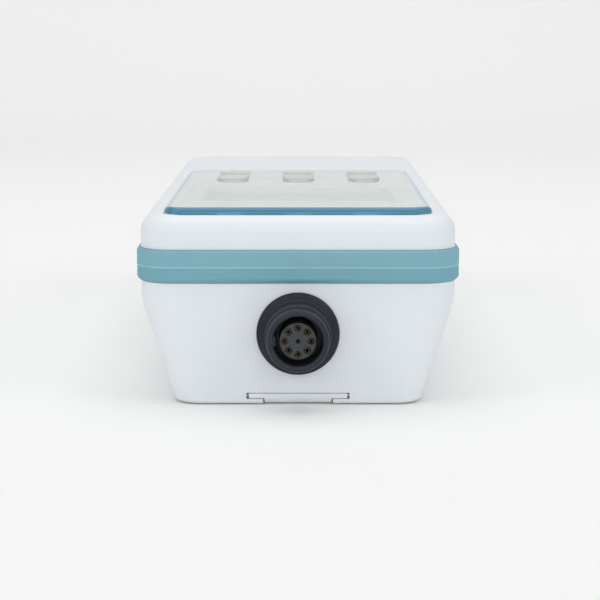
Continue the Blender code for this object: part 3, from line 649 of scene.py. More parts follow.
def hull(rings: Iterable[Sequence[Sequence[float]]], closed: bool = False) -> bmesh.types.BMesh:
    """A solid through rings of equal length.

    Args:
        rings: Rings of points, in order.
        closed: Joins the last ring to the first in place of capping both.

    Returns:
        The new mesh.
    """
    bm = bmesh.new()
    made = [[bm.verts.new(point) for point in ring] for ring in rings]
    pairs = list(zip(made, made[1:] + made[:1])) if closed else list(zip(made, made[1:]))
    for first, second in pairs:
        for k in range(len(first)):
            after = (k + 1) % len(first)
            bm.faces.new((first[k], first[after], second[after], second[k]))
    if not closed:
        bm.faces.new(list(reversed(made[0])))
        bm.faces.new(made[-1])
    bmesh.ops.recalc_face_normals(bm, faces=bm.faces)
    return bm


def put(name: str, bm: bmesh.types.BMesh) -> bpy.types.Object:
    """Turns a bmesh into a linked object.

    Args:
        name: Name of the object.
        bm: The mesh, which is used up.

    Returns:
        The new object.
    """
    mesh = bpy.data.meshes.new(name)
    bm.to_mesh(mesh)
    bm.free()
    obj = bpy.data.objects.new(name, mesh)
    bpy.context.scene.collection.objects.link(obj)
    return obj


def prism(
    name: str,
    x: Pair,
    s: Pair,
    levels: Sequence[tuple[float, float]],
    radius: float = 0.0,
    steps: int = 8,
) -> bpy.types.Object:
    """An upright prism whose outline grows or shrinks from level to level.

    Args:
        name: Name of the object.
        x: Left and right side.
        s: Front and rear, back from the case's front face.
        levels: Height and outward growth at each level, upwards.
        radius: Corner radius before growth.
        steps: Segments in each corner.

    Returns:
        The new object.
    """
    middle, half = sum(x) / 2, (x[1] - x[0]) / 2
    rings = []
    for z, grow in levels:
        ring = outline(half + grow, back(s[0]) - grow, back(s[1]) + grow, radius + grow, steps)
        rings.append([(px + middle, py, z) for px, py in ring])
    return put(name, hull(rings))


def lathe(profile: Sequence[Pair], steps: int, place: Matrix, name: str) -> bpy.types.Object:
    """A turned solid: the closed profile is (radius, height) about +Z, then moved to its place.

    Args:
        profile: Corners of the profile; radius 0 lies on the axis.
        steps: Segments round the axis.
        place: Where the solid goes.
        name: Name of the object.

    Returns:
        The new object.
    """
    bm = bmesh.new()
    rings = []
    for radius, height in profile:
        count = steps if radius > 1e-7 else 1
        turns = [2 * math.pi * k / steps for k in range(count)]
        spots = [place @ Vector((radius * math.cos(a), radius * math.sin(a), height)) for a in turns]
        rings.append([bm.verts.new(spot) for spot in spots])
    for first, second in zip(rings, rings[1:] + rings[:1]):
        if len(first) == len(second) == 1:
            continue
        for k in range(steps):
            after = (k + 1) % steps
            corners = [first[k % len(first)], first[after % len(first)]]
            corners += [second[after % len(second)], second[k % len(second)]]
            bm.faces.new(list(dict.fromkeys(corners)))
    bmesh.ops.recalc_face_normals(bm, faces=bm.faces)
    return put(name, bm)


def rod(name: str, radius: float, start: Vector, end: Vector, steps: int = 32) -> bpy.types.Object:
    """A plain cylinder, mostly for use as a cutter.

    Args:
        name: Name of the object.
        radius: Its radius.
        start: Middle of one end.
        end: Middle of the other.
        steps: Segments round it.

    Returns:
        The new object.
    """
    turn = (end - start).to_track_quat("Z", "Y").to_matrix().to_4x4()
    length = (end - start).length
    profile = [(0.0, 0.0), (radius, 0.0), (radius, length), (0.0, length)]
    return lathe(profile, steps, Matrix.Translation(start) @ turn, name)


def apply_all(obj: bpy.types.Object) -> None:
    """Makes an object's modifiers part of its mesh.

    Args:
        obj: The object.
    """
    bpy.context.view_layer.update()
    evaluated = obj.evaluated_get(bpy.context.evaluated_depsgraph_get())
    mesh = bpy.data.meshes.new_from_object(evaluated)
    obj.modifiers.clear()
    obj.data = mesh


def combine(obj: bpy.types.Object, others: Iterable[bpy.types.Object], how: str) -> None:
    """Cuts or joins other solids, which are used up.

    Args:
        obj: The solid to change.
        others: Cutters or additions.
        how: A Boolean operation.
    """
    others = list(others)
    for other in others:
        modifier = obj.modifiers.new(how, "BOOLEAN")
        modifier.object, modifier.operation, modifier.solver = other, how, "EXACT"
    apply_all(obj)
    for other in others:
        bpy.data.objects.remove(other, do_unlink=True)


def finish_piece(
    obj: bpy.types.Object,
    finish: object,
    slot: Slot,
    body: str,
    *nodes: str,
    angle: float = 32.0,
) -> bpy.types.Object:
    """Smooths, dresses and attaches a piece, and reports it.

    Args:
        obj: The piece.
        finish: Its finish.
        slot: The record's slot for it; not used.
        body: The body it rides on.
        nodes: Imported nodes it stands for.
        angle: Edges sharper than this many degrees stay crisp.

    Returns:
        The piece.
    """
    obj.data.shade_smooth()
    obj.data.set_sharp_from_angle(angle=math.radians(angle))
    if not obj.data.materials:
        obj.data.materials.append(LIBRARY.get(finish))
    even = obj.modifiers.new("even_normals", "WEIGHTED_NORMAL")
    even.keep_sharp = True
    apply_all(obj)
    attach(obj, body)
    if nodes:
        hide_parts(*nodes)
    LOG.info("%s: %d faces on %s", obj.name, len(obj.data.polygons), body)
    return obj


# ------------------------------------------------------------------------------ case
@dataclass
class CaseShape:
    """Outline sizes that the two case halves and the band share."""

    corner: float = 0.0120
    wall: float = 0.0027
    rim: float = 0.0060
    shelf: float = 0.0015
    parting: float = 0.0495
    band_height: float = 0.0118
    taper: float = math.radians(18.0)
    taper_start: float = 0.0365
    taper_bend: float = 0.0280
    rear_share: float = 0.65
    floor_fillet: float = 0.0014
    top_fillet: float = 0.0060
    edge: float = 0.0001
    foot_corner: float = 0.009
    inner_corner: float = 0.007

    def ring(self, z: float, side: float, front: float, rear: float, radius: float, steps: int = 14) -> list:
        """One section of the case, measured in from its outline.

        Args:
            z: Height.
            side: Inset of the sides.
            front: Inset of the front.
            rear: Inset of the rear.
            radius: Corner radius.
            steps: Segments in each corner.

        Returns:
            The section's points.
        """
        points = outline(HALF_WIDTH - side, back(front), back(LENGTH - rear), radius, steps)
        return [(x, y, z) for x, y in points]

    def even(self, z: float, inset: float, radius: float | None = None) -> list:
        """A section inset by the same amount all round, at a height."""
        return self.ring(z, inset, inset, inset, self.corner - inset if radius is None else radius)

    def lean(self, z: float) -> float:
        """How far the lower side leans in.

        Args:
            z: Height.

        Returns:
            The inset of the side.
        """
        upright = self.taper_start + self.taper_bend * math.tan(self.taper / 2)
        if z >= upright:
            return 0.0
        if z <= upright - self.taper_bend * math.sin(self.taper):
            return (self.taper_start - z) * math.tan(self.taper)
        return self.taper_bend - math.sqrt(self.taper_bend**2 - (upright - z) ** 2)

    def lower(self, z: float, extra: float = 0.0, radius: float | None = None) -> list:
        """A section of the lower half.

        Args:
            z: Height.
            extra: Inset on top of the lean.
            radius: Corner radius, or None for the outside's own.

        Returns:
            The section's points.
        """
        inset = self.lean(z)
        if radius is None:
            radius = self.foot_corner + (self.corner - self.foot_corner) * ease(z, 0.004, 0.0300)
        return self.ring(z, inset + extra, extra, self.rear_share * inset + extra, radius)


@dataclass
class UpperCase:
    """The upper half: smooth shoulders, the panel's recess, the window and the key holes."""

    shape: CaseShape
    pocket_depth: float = 0.0013
    pocket_edge: float = 0.0002
    rim_top: float = 0.0575
    wall_span: Pair = (0.0600, 0.0622)
    ceiling_inset: float = 0.0050
    steps: int = 10

    def build(self, panel: "DisplayPanel") -> None:
        """Builds and dresses the piece.

        Args:
            panel: The panel that lies in the recess.
        """
        shape, top = self.shape, TOP_Z
        shelf_z = shape.parting + shape.band_height / 2 + SEAM
        rings = [shape.even(UPPER_LOW.z, shape.shelf), shape.even(shelf_z, shape.shelf)]
        rings += [shape.even(shelf_z, shape.edge), shape.even(shelf_z + shape.edge, 0.0)]
        for k in range(self.steps + 1):
            angle = QUARTER * k / self.steps
            z = top - shape.top_fillet * (1 - math.sin(angle))
            rings.append(shape.even(z, shape.top_fillet * (1 - math.cos(angle))))
        case = put("upper_case_shell", hull(rings))
        under = top - shape.wall
        hollow = [
            shape.even(UPPER_LOW.z - CUT_PAST, shape.rim, shape.inner_corner),
            shape.even(self.rim_top, shape.rim, shape.inner_corner),
            shape.even(self.wall_span[0], shape.wall, shape.foot_corner),
            shape.even(self.wall_span[1], shape.wall, shape.foot_corner),
            shape.even(under, self.ceiling_inset, shape.inner_corner),
        ]
        floor_z = top - self.pocket_depth
        cutters = [put("upper_hollow", hull(hollow))]
        levels = [(floor_z, HAIR), (top - self.pocket_edge, HAIR)]
        levels += [(top, 2 * HAIR), (top + 0.003, 2 * HAIR)]
        cutters.append(panel.prism("panel_recess", levels))
        through = [(under - CUT_PAST, 0.0), (top + 2 * CUT_PAST, 0.0)]
        cutters.append(panel.window("case_window", through))
        cutters += panel.keys.holes(HAIR, under - CUT_PAST, top + 0.005)
        combine(case, cutters, "DIFFERENCE")
        finish_piece(case, WHITE, Slot.CASE, Body.CASE.value, "upper_case")


@dataclass
class EdgeBand:
    """The rubber band round the joint, with the fine raised line its mould leaves."""

    shape: CaseShape
    proud: float = 0.0015
    lower_round: float = 0.0020
    upper_round: float = 0.0012
    line_height: float = 0.00012
    line_half: float = 0.00022

    def build(self) -> None:
        """Builds and dresses the piece."""
        shape, half = self.shape, self.shape.band_height / 2
        low, high, line = shape.parting - half, shape.parting + half, shape.parting - 0.0002
        rings = []
        for k in range(7):
            angle = QUARTER * k / 6
            z = low + self.lower_round * (1 - math.cos(angle))
            rings.append(shape.even(z, -self.proud + self.lower_round * (1 - math.sin(angle))))
        for step, rise in ((-1.8, -0.00006), (-1.0, 0.0), (-0.4, 1.0), (0.4, 1.0), (1.0, 0.0)):
            lift = self.line_height * rise if rise >= 0 else rise
            rings.append(shape.even(line + step * self.line_half, -self.proud - lift + 0.00006))
        rings.append(shape.even(line + 2.2 * self.line_half, -self.proud))
        for k in range(5):
            angle = QUARTER * k / 4
            z = high - self.upper_round * (1 - math.sin(angle))
            rings.append(shape.even(z, -self.proud + self.upper_round * (1 - math.cos(angle))))
        inner = shape.shelf - HAIR
        rings += [shape.even(high, inner), shape.even(low, inner)]
        band = put("edge_band_rubber", hull(rings, closed=True))
        finish_piece(band, BAND, Slot.BAND, Body.CASE.value, "edge_band", angle=38)


@dataclass
class StandSeat:
    """Clearances round the fold-out leg, its ears and its stubs."""

    side_gap: float = 0.0004
    end_gap: float = 0.0005
    ear_gap: float = 0.0008
    gap_heights: Pair = (0.0018, 0.0040)
    gap_span: Pair = (-0.001, 0.0090)
    notch_half: float = 0.0075
    notch_span: Pair = (0.0590, 0.0665)
    notch_over: float = 0.0004
    pocket: float = 0.00195
    stub_holes: Pair = (0.0009, 0.0207)


@dataclass
class LowerCase:
    """The lower half: leaning sides, battery bay, stand recess, screw wells and foot pockets."""

    shape: CaseShape
    ledge: float = 0.0043
    door: tuple[float, float, float] = (0.0330, 0.0700, 0.2110)
    bay: tuple[float, float, float, float] = (0.0276, 0.0840, 0.1950, 0.0316)
    door_screws: Pair = (0.0755, 0.2045)
    stand: "TiltStand" = field(default_factory=lambda: TiltStand())
    stand_seat: StandSeat = field(default_factory=StandSeat)
    screws: Sequence[Pair] = tuple((x, s) for x in (-0.034, 0.034) for s in (0.0125, 0.2620))
    seat: float = 0.0420
    lip: float = 0.00035
    door_frame: tuple[float, Pair, float] = (0.036, (0.0675, 0.2140), 0.0024)
    post_half: float = 0.008
    post_ends: Pair = (0.0065, 0.0072)
    post_heights: Pair = (0.0050, 0.0190)
    boss: float = 0.0047
    boss_foot: float = 0.0025
    boss_over: float = 0.004
    well_radius: float = 0.0033
    thread_radius: float = 0.0017
    thread_top: float = 0.052
    pilot: float = 0.0018
    pilot_span: Pair = (0.003, 0.0165)
    pocket: float = 0.0053
    pocket_depth: float = 0.0013
    recess_corner: float = 0.0043

    def outer(self) -> bpy.types.Object:
        """Builds the plain outer form.

        Returns:
            The solid.
        """
        shape, rings = self.shape, []
        for k in range(9):
            angle = QUARTER * k / 8
            z = BASE_Z + shape.floor_fillet * (1 - math.cos(angle))
            inset = shape.floor_fillet * (1 - math.sin(angle))
            rings.append(shape.lower(z, inset, shape.foot_corner))
        rings += [shape.lower(0.004 + 0.0019 * k) for k in range(20)]
        shelf_z = shape.parting - shape.band_height / 2 - SEAM
        rings += [shape.even(shelf_z - shape.edge, 0.0), shape.even(shelf_z, shape.edge)]
        rings += [shape.even(shelf_z, shape.shelf), shape.even(CASE_HIGH.z, shape.shelf)]
        return put("lower_case_shell", hull(rings))

    def hollow(self) -> bpy.types.Object:
        """Builds the space inside the walls.

        Returns:
            The cutter.
        """
        shape = self.shape
        levels = ((BASE_Z + shape.wall, 0.007), (0.020, 0.008), (0.0295, 0.009), (0.0398, 0.009))
        rings = [shape.lower(z, shape.wall, radius) for z, radius in levels]
        for z in (0.0415, CASE_HIGH.z + CUT_PAST):
            rings.append(shape.even(z, shape.rim, shape.inner_corner))
        return put("lower_hollow", hull(rings))

    def additions(self) -> list[bpy.types.Object]:
        """Builds the frames, posts and bosses inside the walls.

        Returns:
            The solids to join on.
        """
        def plain(name: str, half: float, s: Pair, z: Pair) -> bpy.types.Object:
            """A plain block centred on the case."""
            return prism(name, (-half, half), s, [(z[0], 0.0), (z[1], 0.0)], steps=1)

        half, span, over = self.door_frame
        made = [
            plain("door_frame", half, span, (0.0030, BASE_Z + self.ledge + over)),
            plain("bay_box", 0.0300, (0.0816, 0.1974), (0.0060, 0.0340)),
            plain("stand_roof", 0.0155, (0.0010, 0.0685), (0.0020, 0.0076)),
            plain("pivot_housing", 0.0225, (0.0010, 0.0066), (0.0020, 0.0084)),
        ]
        for k, s in enumerate(self.door_screws):
            ends = (s - self.post_ends[0], s + self.post_ends[1])
            made.append(plain(f"door_post_{k}", self.post_half, ends, self.post_heights))
        for k, (x, s) in enumerate(self.screws):
            start = Vector((x, back(s), self.boss_foot))
            end = Vector((x, back(s), self.seat + self.boss_over))
            made.append(rod(f"boss_{k}", self.boss, start, end))
        return made

    def flared(self, name: str, half: float, s: Pair, top: float, radius: float) -> bpy.types.Object:
        """A cutter for a recess in the underside, with a small chamfer round its mouth.

        Args:
            name: Name of the cutter.
            half: Half of its width.
            s: Where it starts and ends, back from the front face.
            top: Height of its closed end.
            radius: Corner radius.

        Returns:
            The cutter.
        """
        levels = [(-CUT_PAST, self.lip), (BASE_Z, self.lip), (BASE_Z + self.lip, 0.0), (top, 0.0)]
        return prism(name, (-half, half), s, levels, radius, 6)

    def well(self, name: str, x: float, s: float, radius: float, top: float) -> bpy.types.Object:
        """A round blind hole up from the underside, with a chamfered mouth.

        Args:
            name: Name of the cutter.
            x: Its place across the case.
            s: Its place back from the front face.
            radius: Its radius.
            top: Height of its blind end.

        Returns:
            The cutter.
        """
        lip = self.lip
        profile = [(0.0, -CUT_PAST), (radius + lip, -CUT_PAST), (radius + lip, BASE_Z)]
        profile += [(radius, BASE_Z + lip), (radius, top), (0.0, top)]
        return lathe(profile, 32, Matrix.Translation((x, back(s), 0.0)), name)

    def cutters(self) -> list[bpy.types.Object]:
        """Builds everything that is taken out of the half.

        Returns:
            The cutters.
        """
        half, start, end = self.door
        span, top = (start - HAIR, end + HAIR), BASE_Z + self.ledge
        cut = [self.flared("door_recess", half + HAIR, span, top, self.recess_corner)]
        bay_half, bay_start, bay_end, bay_top = self.bay
        levels = [(0.0, 0.0), (bay_top, 0.0)]
        cut.append(prism("bay_space", (-bay_half, bay_half), (bay_start, bay_end), levels, 0.001, 3))
        for k, s in enumerate(self.door_screws):
            low, high = (Vector((0, back(s), z)) for z in self.pilot_span)
            cut.append(rod(f"pilot_{k}", self.pilot, low, high, 20))
        for k, (x, s) in enumerate(self.screws):
            cut.append(self.well(f"well_{k}", x, s, self.well_radius, self.seat))
            low = Vector((x, back(s), self.seat - CUT_PAST / 2))
            high = Vector((x, back(s), self.thread_top))
            cut.append(rod(f"thread_{k}", self.thread_radius, low, high, 20))
        for k, (x, s) in enumerate(Feet().places):
            cut.append(self.well(f"foot_pocket_{k}", x, s, self.pocket, BASE_Z + self.pocket_depth))
        return cut + self.stand_cutters() + self.socket_cutters()

    def stand_cutters(self) -> list[bpy.types.Object]:
        """Builds the recess of the stand: leg, finger notch, pivot pocket and its two end gaps.

        Returns:
            The cutters.
        """
        leg, seat = self.stand, self.stand_seat
        roof = BASE_Z + leg.thick + HAIR / 2
        wide = leg.half + seat.side_gap
        levels = [(-CUT_PAST, 0.0), (roof, 0.0)]
        span = (-2 * CUT_PAST, leg.length + seat.end_gap)
        cut = [prism("leg_recess", (-wide, wide), span, levels, 0.0, 1)]
        for side in (-1, 1):
            x = side * (leg.ear_half + seat.ear_gap / 2)
            levels = [(BASE_Z + z, 0.0) for z in seat.gap_heights]
            sides = (x - seat.ear_gap / 2, x + seat.ear_gap / 2)
            cut.append(prism("ear_gap", sides, seat.gap_span, levels, 0.0, 1))
        notch = (seat.notch_half, seat.notch_span, roof + seat.notch_over, 0.0015)
        cut.append(self.flared("finger_notch", *notch))
        pivot_y, pivot_z = back(leg.pivot_back), BASE_Z + leg.pivot_up
        ears = (seat.pocket, leg.ear_half + seat.ear_gap)
        for name, (radius, reach) in (("ear_pocket", ears), ("stub_holes", seat.stub_holes)):
            ends = (Vector((x, pivot_y, pivot_z)) for x in (-reach, reach))
            cut.append(rod(name, radius, *ends))
        return cut

    def socket_cutters(self) -> list[bpy.types.Object]:
        """Builds the socket's hole and the seat of its seal.

        Returns:
            The cutters.
        """
        cut = []
        z = ProbeSocket().height
        for name, radius, depth in (("socket_hole", 0.0100, 0.006), ("seal_seat", 0.0130, 0.0012)):
            ends = (Vector((0, back(s), z)) for s in (-CUT_PAST, depth))
            cut.append(rod(name, radius, *ends, 64))
        return cut

    def build(self) -> None:
        """Builds and dresses the piece."""
        case = self.outer()
        combine(case, [self.hollow()], "DIFFERENCE")
        combine(case, self.additions(), "UNION")
        combine(case, self.cutters(), "DIFFERENCE")
        finish_piece(case, WHITE, Slot.CASE, Body.CASE.value, "lower_case")


# ------------------------------------------------------------------------------ display and keys
@dataclass
class Keypad:
    """Three rows of three rounded rubber keys."""

    columns: Sequence[float] = (-0.0270, 0.0, 0.0270)
    rows: Sequence[float] = (0.1195, 0.1345, 0.1495)
    half: Pair = (0.0064, 0.0042)
    corner: float = 0.0038
    flange: float = 0.0013
    flange_thick: float = 0.0012
    crown: float = 0.0007
    crown_inset: float = 0.0030
    crown_steps: int = 8

    def prism(self, name: str, x: float, s: float, levels: Sequence[Pair]) -> bpy.types.Object:
        """A prism on one key's outline.

        Args:
            name: Name of the object.
            x: The key's middle across the case.
            s: Its middle back from the front face.
            levels: Height and outward growth at each level.

        Returns:
            The new object.
        """
        wide, deep = self.half
        return prism(name, (x - wide, x + wide), (s - deep, s + deep), levels, self.corner)

    def holes(self, grow: float, low: float, high: float) -> list[bpy.types.Object]:
        """Cutters for the keys' holes.

        Args:
            grow: Clearance round each key.
            low: Where the holes start.
            high: Where they end.

        Returns:
            One cutter for each key.
        """
        made = []
        for s in self.rows:
            for x in self.columns:
                levels = [(low, grow), (high, grow)]
                made.append(self.prism("key_hole", x, s, levels))
        return made

    def build(self) -> None:
        """Builds and dresses every key cap."""
        places = [(x, s) for s in self.rows for x in self.columns]
        for number, (x, s) in enumerate(places, 1):
            low, high = (corner.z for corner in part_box(f"key_{number}"))
            crown = min(self.crown, (high - LENS_TOP) * 0.8)
            levels = [(low, self.flange - 0.0001), (low + 0.0001, self.flange)]
            levels += [(low + self.flange_thick, self.flange), (low + self.flange_thick, 0.0)]
            levels.append((high - crown, 0.0))
            for k in range(1, self.crown_steps):
                angle = QUARTER * k / self.crown_steps
                inset = self.crown_inset * (1 - math.cos(angle))
                levels.append((high - crown * (1 - math.sin(angle)), -inset))
            levels.append((high, -self.crown_inset - 0.0004))
            cap = self.prism(f"key_cap_{number}", x, s, levels)
            finish_piece(cap, KEY, Slot.KEYS, f"key_{number}_body", f"key_{number}", angle=45)


@dataclass
class DisplayPanel:
    """The clear panel with its sloped edge, the printed sheet under it and the display."""

    keys: Keypad
    half: float = 0.0478
    start: float = 0.0053
    end: float = 0.1645
    corner: float = 0.0080
    slope: Pair = (0.0021, 0.0019)
    window_half: float = 0.0359
    window_start: float = 0.0368
    window_end: float = 0.0889
    window_corner: float = 0.001
    bezel: float = 0.0012
    margin: float = 0.0038
    near_margin: float = 0.0125
    far_margin: float = 0.0100

    def prism(self, name: str, levels: Sequence[Pair]) -> bpy.types.Object:
        """A prism on the panel's outline."""
        return prism(name, (-self.half, self.half), (self.start, self.end), levels, self.corner, 14)

    def window(self, name: str, levels: Sequence[Pair]) -> bpy.types.Object:
        """A prism on the display window's outline.

        Args:
            name: Name of the object.
            levels: Height and outward growth at each level.

        Returns:
            The new object.
        """
        sides, span = (-self.window_half, self.window_half), (self.window_start, self.window_end)
        return prism(name, sides, span, levels, self.window_corner, 4)

    def lens(self) -> None:
        """The panel: clear on top, deeper blue on its sloped and rounded edge."""
        low, high = (corner.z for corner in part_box("display_lens"))
        run, fall = self.slope
        levels = [(low, 0.0), (high - fall, 0.0)]
        for k in range(1, 7):
            angle = QUARTER * k / 6
            levels.append((high - fall * (1 - math.sin(angle)), -run * (1 - math.cos(angle))))
        lens = self.prism("display_panel", levels)
        holes = self.keys.holes(HAIR, low - CUT_PAST, high + CUT_PAST)
        combine(lens, holes, "DIFFERENCE")
        clear, edge = LIBRARY.get(LENS_CLEAR), LIBRARY.get(LENS_EDGE)
        lens.data.materials.append(clear)
        lens.data.materials.append(edge)
        flat_half = self.half - run - 0.0001
        near, far = back(self.start + run + 0.0001), back(self.end - run - 0.0001)
        reach = self.corner - run
        for face in lens.data.polygons:
            x, y, _ = face.center
            outside = abs(x) > flat_half or not near < y < far
            corner = Vector((flat_half - abs(x), min(y - near, far - y)))
            in_corner = max(corner) < reach and min(corner) >= 0
            rounded = in_corner and (Vector((reach, reach)) - corner).length > reach
            sloped = abs(face.normal.z) < 0.999
            face.material_index = 1 if (outside or rounded) and sloped else 0
        finish_piece(lens, LENS_CLEAR, Slot.LENS, Body.CASE.value, "display_lens", angle=45)
        lens.visible_shadow = lens.visible_diffuse = False

    def sheet(self) -> None:
        """The printed sheet, cut out for the window and the keys."""
        low, high = (corner.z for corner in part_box("face_sheet"))
        sheet = self.prism("printed_face_sheet", [(low, -HAIR), (high, -HAIR)])
        cutters = [self.window("sheet_window", [(low - 0.001, 0.0), (high + 0.001, 0.0)])]
        combine(sheet, cutters + self.keys.holes(HAIR, low - 0.001, high + 0.001), "DIFFERENCE")
        near, far = self.start + self.near_margin, self.end - self.far_margin
        window_middle = (self.window_start + self.window_end) / 2
        window_reach = (self.window_end - self.window_start) / 2
        printed = PrintedSheet(
            "printed_face",
            srgb(222, 221, 207),
            srgb(196, 222, 226),
            srgb(216, 218, 214),
            (self.half - self.margin, (far - near) / 2),
            (0.0, back((near + far) / 2)),
            (self.window_half + self.bezel, window_reach + self.bezel),
            (0.0, back(window_middle)),
        )
        finish_piece(sheet, printed, Slot.SHEET, Body.CASE.value, "face_sheet")

    def display(self) -> None:
        """The display glass under the window."""
        low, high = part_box("lcd_glass")
        edge = 0.0001
        levels = [(low.z, -edge), (low.z + edge, 0.0), (high.z - edge, 0.0), (high.z, -edge)]
        span = (low.y - FRONT, high.y - FRONT)
        glass = prism("display_glass", (low.x, high.x), span, levels, 0.0004)
        finish = DotDisplay("display_cell", srgb(238, 239, 232), srgb(206, 210, 204))
        finish_piece(glass, finish, Slot.DISPLAY, Body.CASE.value, "lcd_glass")

    def build(self) -> None:
        """Builds and dresses all of it."""
        self.lens()
        self.sheet()
        self.display()
        self.keys.build()


# ------------------------------------------------------------------------------ probe socket
@dataclass
class ProbeSocket:
    """The round socket for the probe's plug."""

    height: float = 0.0258
    proud: float = 0.0170
    flange: float = 0.0147
    barrel: float = 0.0116
    rim: float = 0.0109
    bore: float = 0.0087
    thread: float = 0.0097
    insert: float = 0.0064
    ring: float = 0.0046
    contact: float = 0.00085
    count: int = 8
    thread_turns: int = 9
    thread_pitch: float = 0.0012
    thread_depth: float = 0.0005
    back_end: float = -0.0120
    core_end: float = -0.0140
    sleeve_end: float = -0.0170
    seat: float = 0.0050
    rib_half: float = 0.0018
    rib_edge: float = 0.0002
    lead_in: float = 0.00025

    def place(self, x: float = 0.0, z: float | None = None) -> Matrix:
        """Turns +Z forwards out of the front face.

        Args:
            x: Place across the face.
            z: Height on it, or None for the socket's own.

        Returns:
            The placement.
        """
        spot = Matrix.Translation((x, FRONT, self.height if z is None else z))
        return spot @ Matrix.Rotation(QUARTER, 4, "X")

    def contacts(self) -> list[Pair]:
        """X and Z of each contact."""
        turns = [QUARTER + 2 * math.pi * k / self.count for k in range(self.count)]
        return [(self.ring * math.cos(a), self.height + self.ring * math.sin(a)) for a in turns]

    def shell(self) -> None:
        """Flange, barrel with its groove, rolled rim and keyed bore."""
        rim, bore, barrel, flange = self.proud, self.bore, self.barrel, self.flange
        outer, groove = self.rim, self.rim - 0.0005
        profile = [(bore, rim - 0.0007), (bore + 0.0002, rim - 0.0002), (bore + 0.0006, rim)]
        profile += [(outer - 0.0008, rim), (outer - 0.0002, rim - 0.0002), (outer, rim - 0.0008)]
        profile += [(outer, rim - 0.0033), (outer - 0.0002, rim - 0.0036), (groove, rim - 0.0037)]
        profile += [(groove, rim - 0.0048), (barrel - 0.0003, rim - 0.0050), (barrel, rim - 0.0054)]
        profile += [(barrel, 0.0030), (barrel + 0.0002, 0.0025), (barrel + 0.0007, 0.0023)]
        profile += [(flange - 0.0016, 0.0023), (flange - 0.0014, 0.0019), (flange - 0.0010, 0.0018)]
        profile += [(flange - 0.0006, 0.0017), (flange - 0.0002, 0.0014), (flange, 0.0010)]
        profile += [(flange, 0.0006), (flange - 0.0003, HAIR), (self.thread, HAIR)]
        for k in range(self.thread_turns):
            z = -self.thread_pitch * k
            profile += [(self.thread, z), (self.thread - self.thread_depth, z - self.thread_pitch / 2)]
        inner = self.insert + HAIR
        profile += [(self.thread, self.back_end), (inner, self.back_end)]
        profile += [(inner, self.seat), (bore, self.seat)]
        shell = lathe(profile, 96, self.place(), "probe_socket_shell")
        sides, span = (-bore - 0.0010, -bore + 0.0009), (-rim + 0.0006, -0.0040)
        half, edge = self.rib_half, self.rib_edge
        levels = [(self.height - half, -edge), (self.height - half + edge, 0.0)]
        levels += [(self.height + half - edge, 0.0), (self.height + half, -edge)]
        rib = prism("socket_rib", sides, span, levels, edge, 2)
        combine(shell, [rib], "UNION")
        finish_piece(shell, NYLON, Slot.SOCKET, Body.CASE.value, "socket_shell", angle=50)

    def core(self) -> None:
        """The insert, with a chamfered edge and a hole for each contact."""
        face = self.proud - 0.0011
        profile = [(0.0, face), (self.insert - 0.0004, face), (self.insert - 0.0001, face - 0.0001)]
        profile += [(self.insert, face - 0.0004), (self.insert, self.core_end), (0.0, self.core_end)]
        core = lathe(profile, 72, self.place(), "probe_socket_insert")
        cutters, ahead, mouth = [], 0.03, self.lead_in
        for x, z in self.contacts():
            reach = self.contact + HAIR
            hole = [(0.0, ahead), (reach + mouth, ahead), (reach + mouth, face), (reach, face - mouth)]
            hole += [(reach, -0.02), (0.0, -0.02)]
            cutters.append(lathe(hole, 24, self.place(x, z), "contact_hole"))
        dimple = [(0.0, ahead), (0.0009, ahead), (0.0009, face), (0.0007, face - 0.0002)]
        dimple += [(0.0007, face - 0.0029), (0.0, face - 0.0029)]
        cutters.append(lathe(dimple, 24, self.place(), "dimple"))
        combine(core, cutters, "DIFFERENCE")
        finish_piece(core, INSERT, Slot.SOCKET, Body.CASE.value, "socket_insert")

    def sleeves(self) -> None:
        """The gold contact sleeves, each with a lead-in round its mouth."""
        radius, mouth = self.contact, self.proud - 0.0017
        for k, (x, z) in enumerate(self.contacts(), 1):
            profile = [(0.0, mouth - 0.0064), (0.00064, mouth - 0.0064), (0.00064, mouth - 0.0002)]
            profile += [(0.00072, mouth), (radius - 0.0001, mouth), (radius, mouth - 0.0001)]
            end = self.sleeve_end
            profile += [(radius, end + 0.0001), (radius - 0.0001, end), (0.0, end)]
            sleeve = lathe(profile, 24, self.place(x, z), f"probe_contact_{k}")
            finish_piece(sleeve, GOLD, Slot.CONTACTS, Body.CASE.value, f"socket_contact_{k}")

    def build(self) -> None:
        """Builds and dresses the socket."""
        self.shell()
        self.core()
        self.sleeves()


